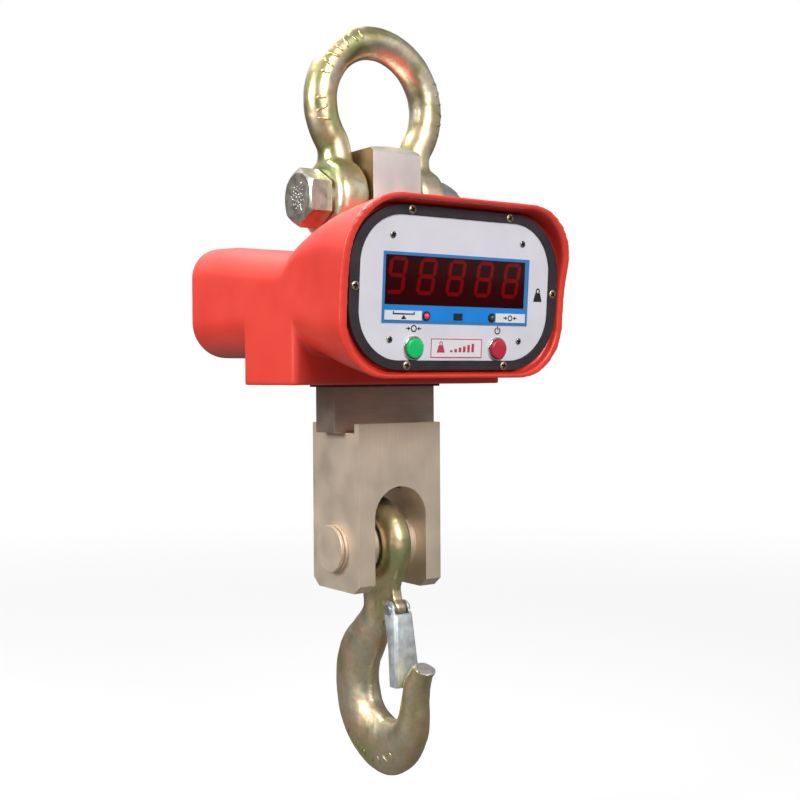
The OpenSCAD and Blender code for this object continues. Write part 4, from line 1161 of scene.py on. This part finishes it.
BODIES = {"shackle_pin": "shackle", "shackle_nut": "shackle", "latch_pin": "hook"}
for node, (width, mat) in BROKEN.items():
    refine(node, width, mat, BODIES.get(node, "scale"))

# CAD nodes that are kept as they are, with a finish
KEPT = {
    "shackle_cotter": BRIGHT_ZINC, "lug_pin": PLAIN, "gauge_covers": PLAIN, "cell_cable": CHIP,
    "mount_frame": PLAIN, "frame_screws": PLAIN, "battery": BATTERY, "battery_strap": PLAIN,
    "legend_strip": STRIP, "led_labels": LABEL, "display_window": WINDOW, "digit_modules": DIGIT_BLACK,
    "display_board": BOARD, "board_spacers": PLAIN, "driver_board": BOARD, "board_parts": CHIP,
    "led_steady": LAMP_RED, "led_tare": LAMP_GREEN, "ir_receiver": CHIP, "switch_bodies": CHIP,
    "button_springs": PLAIN,
}
for node, mat in KEPT.items():
    mesh = NODES[node].data
    mesh.materials.clear()
    mesh.materials.append(mat)


# ---- stage

def build_camera():
    """The camera that was worked out from the photograph."""
    yaw, pitch, roll = (radians(a) for a in (35.586, -1.1486, 0.3333))
    ahead = Vector((sin(yaw) * cos(pitch), cos(yaw) * cos(pitch), sin(pitch)))
    right0 = Vector((cos(yaw), -sin(yaw), 0))
    up0 = right0.cross(ahead)
    right = right0 * cos(roll) - up0 * sin(roll)
    up = right0 * sin(roll) + up0 * cos(roll)
    data = bpy.data.cameras.new("camera")
    data.sensor_width = 36
    data.lens = 55.52
    data.clip_end = 50
    cam = bpy.data.objects.new("camera", data)
    bpy.context.scene.collection.objects.link(cam)
    at = Vector((-0.61921, -0.90210, -0.27778))
    cam.matrix_world = Matrix(((right.x, up.x, -ahead.x, at.x), (right.y, up.y, -ahead.y, at.y),
                               (right.z, up.z, -ahead.z, at.z), (0, 0, 0, 1)))
    bpy.context.scene.camera = cam


def area(name, at, target, size, power, color=(1, 1, 1)):
    data = bpy.data.lights.new(name, "AREA")
    data.shape = "DISK"
    data.size = size
    data.energy = power
    data.color = color
    obj = bpy.data.objects.new(name, data)
    bpy.context.scene.collection.objects.link(obj)
    obj.location = at
    obj.rotation_euler = (Vector(target) - Vector(at)).to_track_quat("-Z", "Y").to_euler()


def node_maker(tree):
    """A function that adds a shader node to the tree and fills in its inputs."""
    def new(kind, **inputs):
        n = tree.nodes.new("ShaderNode" + kind)
        for key, value in inputs.items():
            n.inputs[key.replace("_", " ")].default_value = value
        return n
    return new


def build_world():
    """White to the camera; to the object, a soft room, bright above and dimmer below and to the sides."""
    world = bpy.data.worlds.new("studio")
    bpy.context.scene.world = world
    world.use_nodes = True
    world.node_tree.nodes.clear()
    new, link = node_maker(world.node_tree), world.node_tree.links.new
    seen = new("Background", Color=(1, 1, 1, 1), Strength=1.0)
    room = new("Background", Strength=0.75)
    coord = new("TexCoord")
    split = new("SeparateXYZ")
    link(coord.outputs["Generated"], split.inputs[0])
    span = new("MapRange", From_Min=-1, From_Max=1)
    link(split.outputs["Z"], span.inputs["Value"])
    height = new("ValToRGB")
    set_ramp(height, [(0.30, (0.10, 0.095, 0.085)), (0.52, (0.40, 0.40, 0.39)), (0.80, (1.0, 1.0, 1.0))])
    link(span.outputs["Result"], height.inputs["Fac"])
    # soft darker and brighter sides, so that metal has something to mirror
    sides = new("TexNoise", Scale=1.7, Detail=1.0)
    band = new("ValToRGB")
    set_ramp(band, [(0.40, (0.22, 0.22, 0.22)), (0.60, (1.0, 1.0, 1.0))])
    link(coord.outputs["Generated"], sides.inputs["Vector"])
    link(sides.outputs["Fac"], band.inputs["Fac"])
    product = new("MixRGB", Fac=1.0)
    product.blend_type = "MULTIPLY"
    link(height.outputs["Color"], product.inputs["Color1"])
    link(band.outputs["Color"], product.inputs["Color2"])
    link(product.outputs["Color"], room.inputs["Color"])
    mixer = new("MixShader")
    link(new("LightPath").outputs["Is Camera Ray"], mixer.inputs["Fac"])
    link(room.outputs[0], mixer.inputs[1])
    link(seen.outputs[0], mixer.inputs[2])
    link(mixer.outputs[0], new("OutputWorld").inputs["Surface"])


def build_floor():
    """Pale floor that fades into the background with distance, and throws little light back up."""
    bm = bmesh.new()
    bmesh.ops.create_circle(bm, cap_ends=True, radius=14.0, segments=96)
    bmesh.ops.translate(bm, verts=bm.verts, vec=(0, 0, cad_box[0][2] - 0.10))
    floor = from_bmesh("floor", bm)
    mat = bpy.data.materials.new("floor")
    mat.use_nodes = True
    nodes = mat.node_tree.nodes
    new, link = node_maker(mat.node_tree), mat.node_tree.links.new
    pale = nodes["Principled BSDF"]
    pale.inputs["Base Color"].default_value = (0.80, 0.80, 0.80, 1)
    pale.inputs["Roughness"].default_value = 0.9
    pale.inputs["Specular IOR Level"].default_value = 0.0
    size = new("VectorMath")
    size.operation = "LENGTH"
    link(new("TexCoord").outputs["Object"], size.inputs[0])
    fade = new("MapRange", From_Min=0.2, From_Max=3.0, To_Min=0.55)
    fade.interpolation_type = "SMOOTHSTEP"
    link(size.outputs["Value"], fade.inputs["Value"])
    horizon = new("MixShader")
    link(fade.outputs["Result"], horizon.inputs["Fac"])
    link(pale.outputs["BSDF"], horizon.inputs[1])
    link(new("Emission").outputs[0], horizon.inputs[2])
    seen = new("MixShader")
    link(new("LightPath").outputs["Is Camera Ray"], seen.inputs["Fac"])
    link(new("BsdfDiffuse", Color=(0.16, 0.15, 0.14, 1)).outputs[0], seen.inputs[1])
    link(horizon.outputs[0], seen.inputs[2])
    link(seen.outputs[0], nodes["Material Output"].inputs["Surface"])
    floor.data.materials.append(mat)


build_camera()
build_world()
build_floor()
centre = (0, 0, -0.30)
area("key", (-0.3, -1.9, 0.75), centre, 1.0, 33, (1.0, 0.99, 0.97))
area("left", (-1.9, 0.1, 0.45), centre, 0.9, 25)
area("top", (-0.3, 0.6, 1.3), centre, 0.9, 30)
bpy.context.scene.view_settings.view_transform = "Standard"
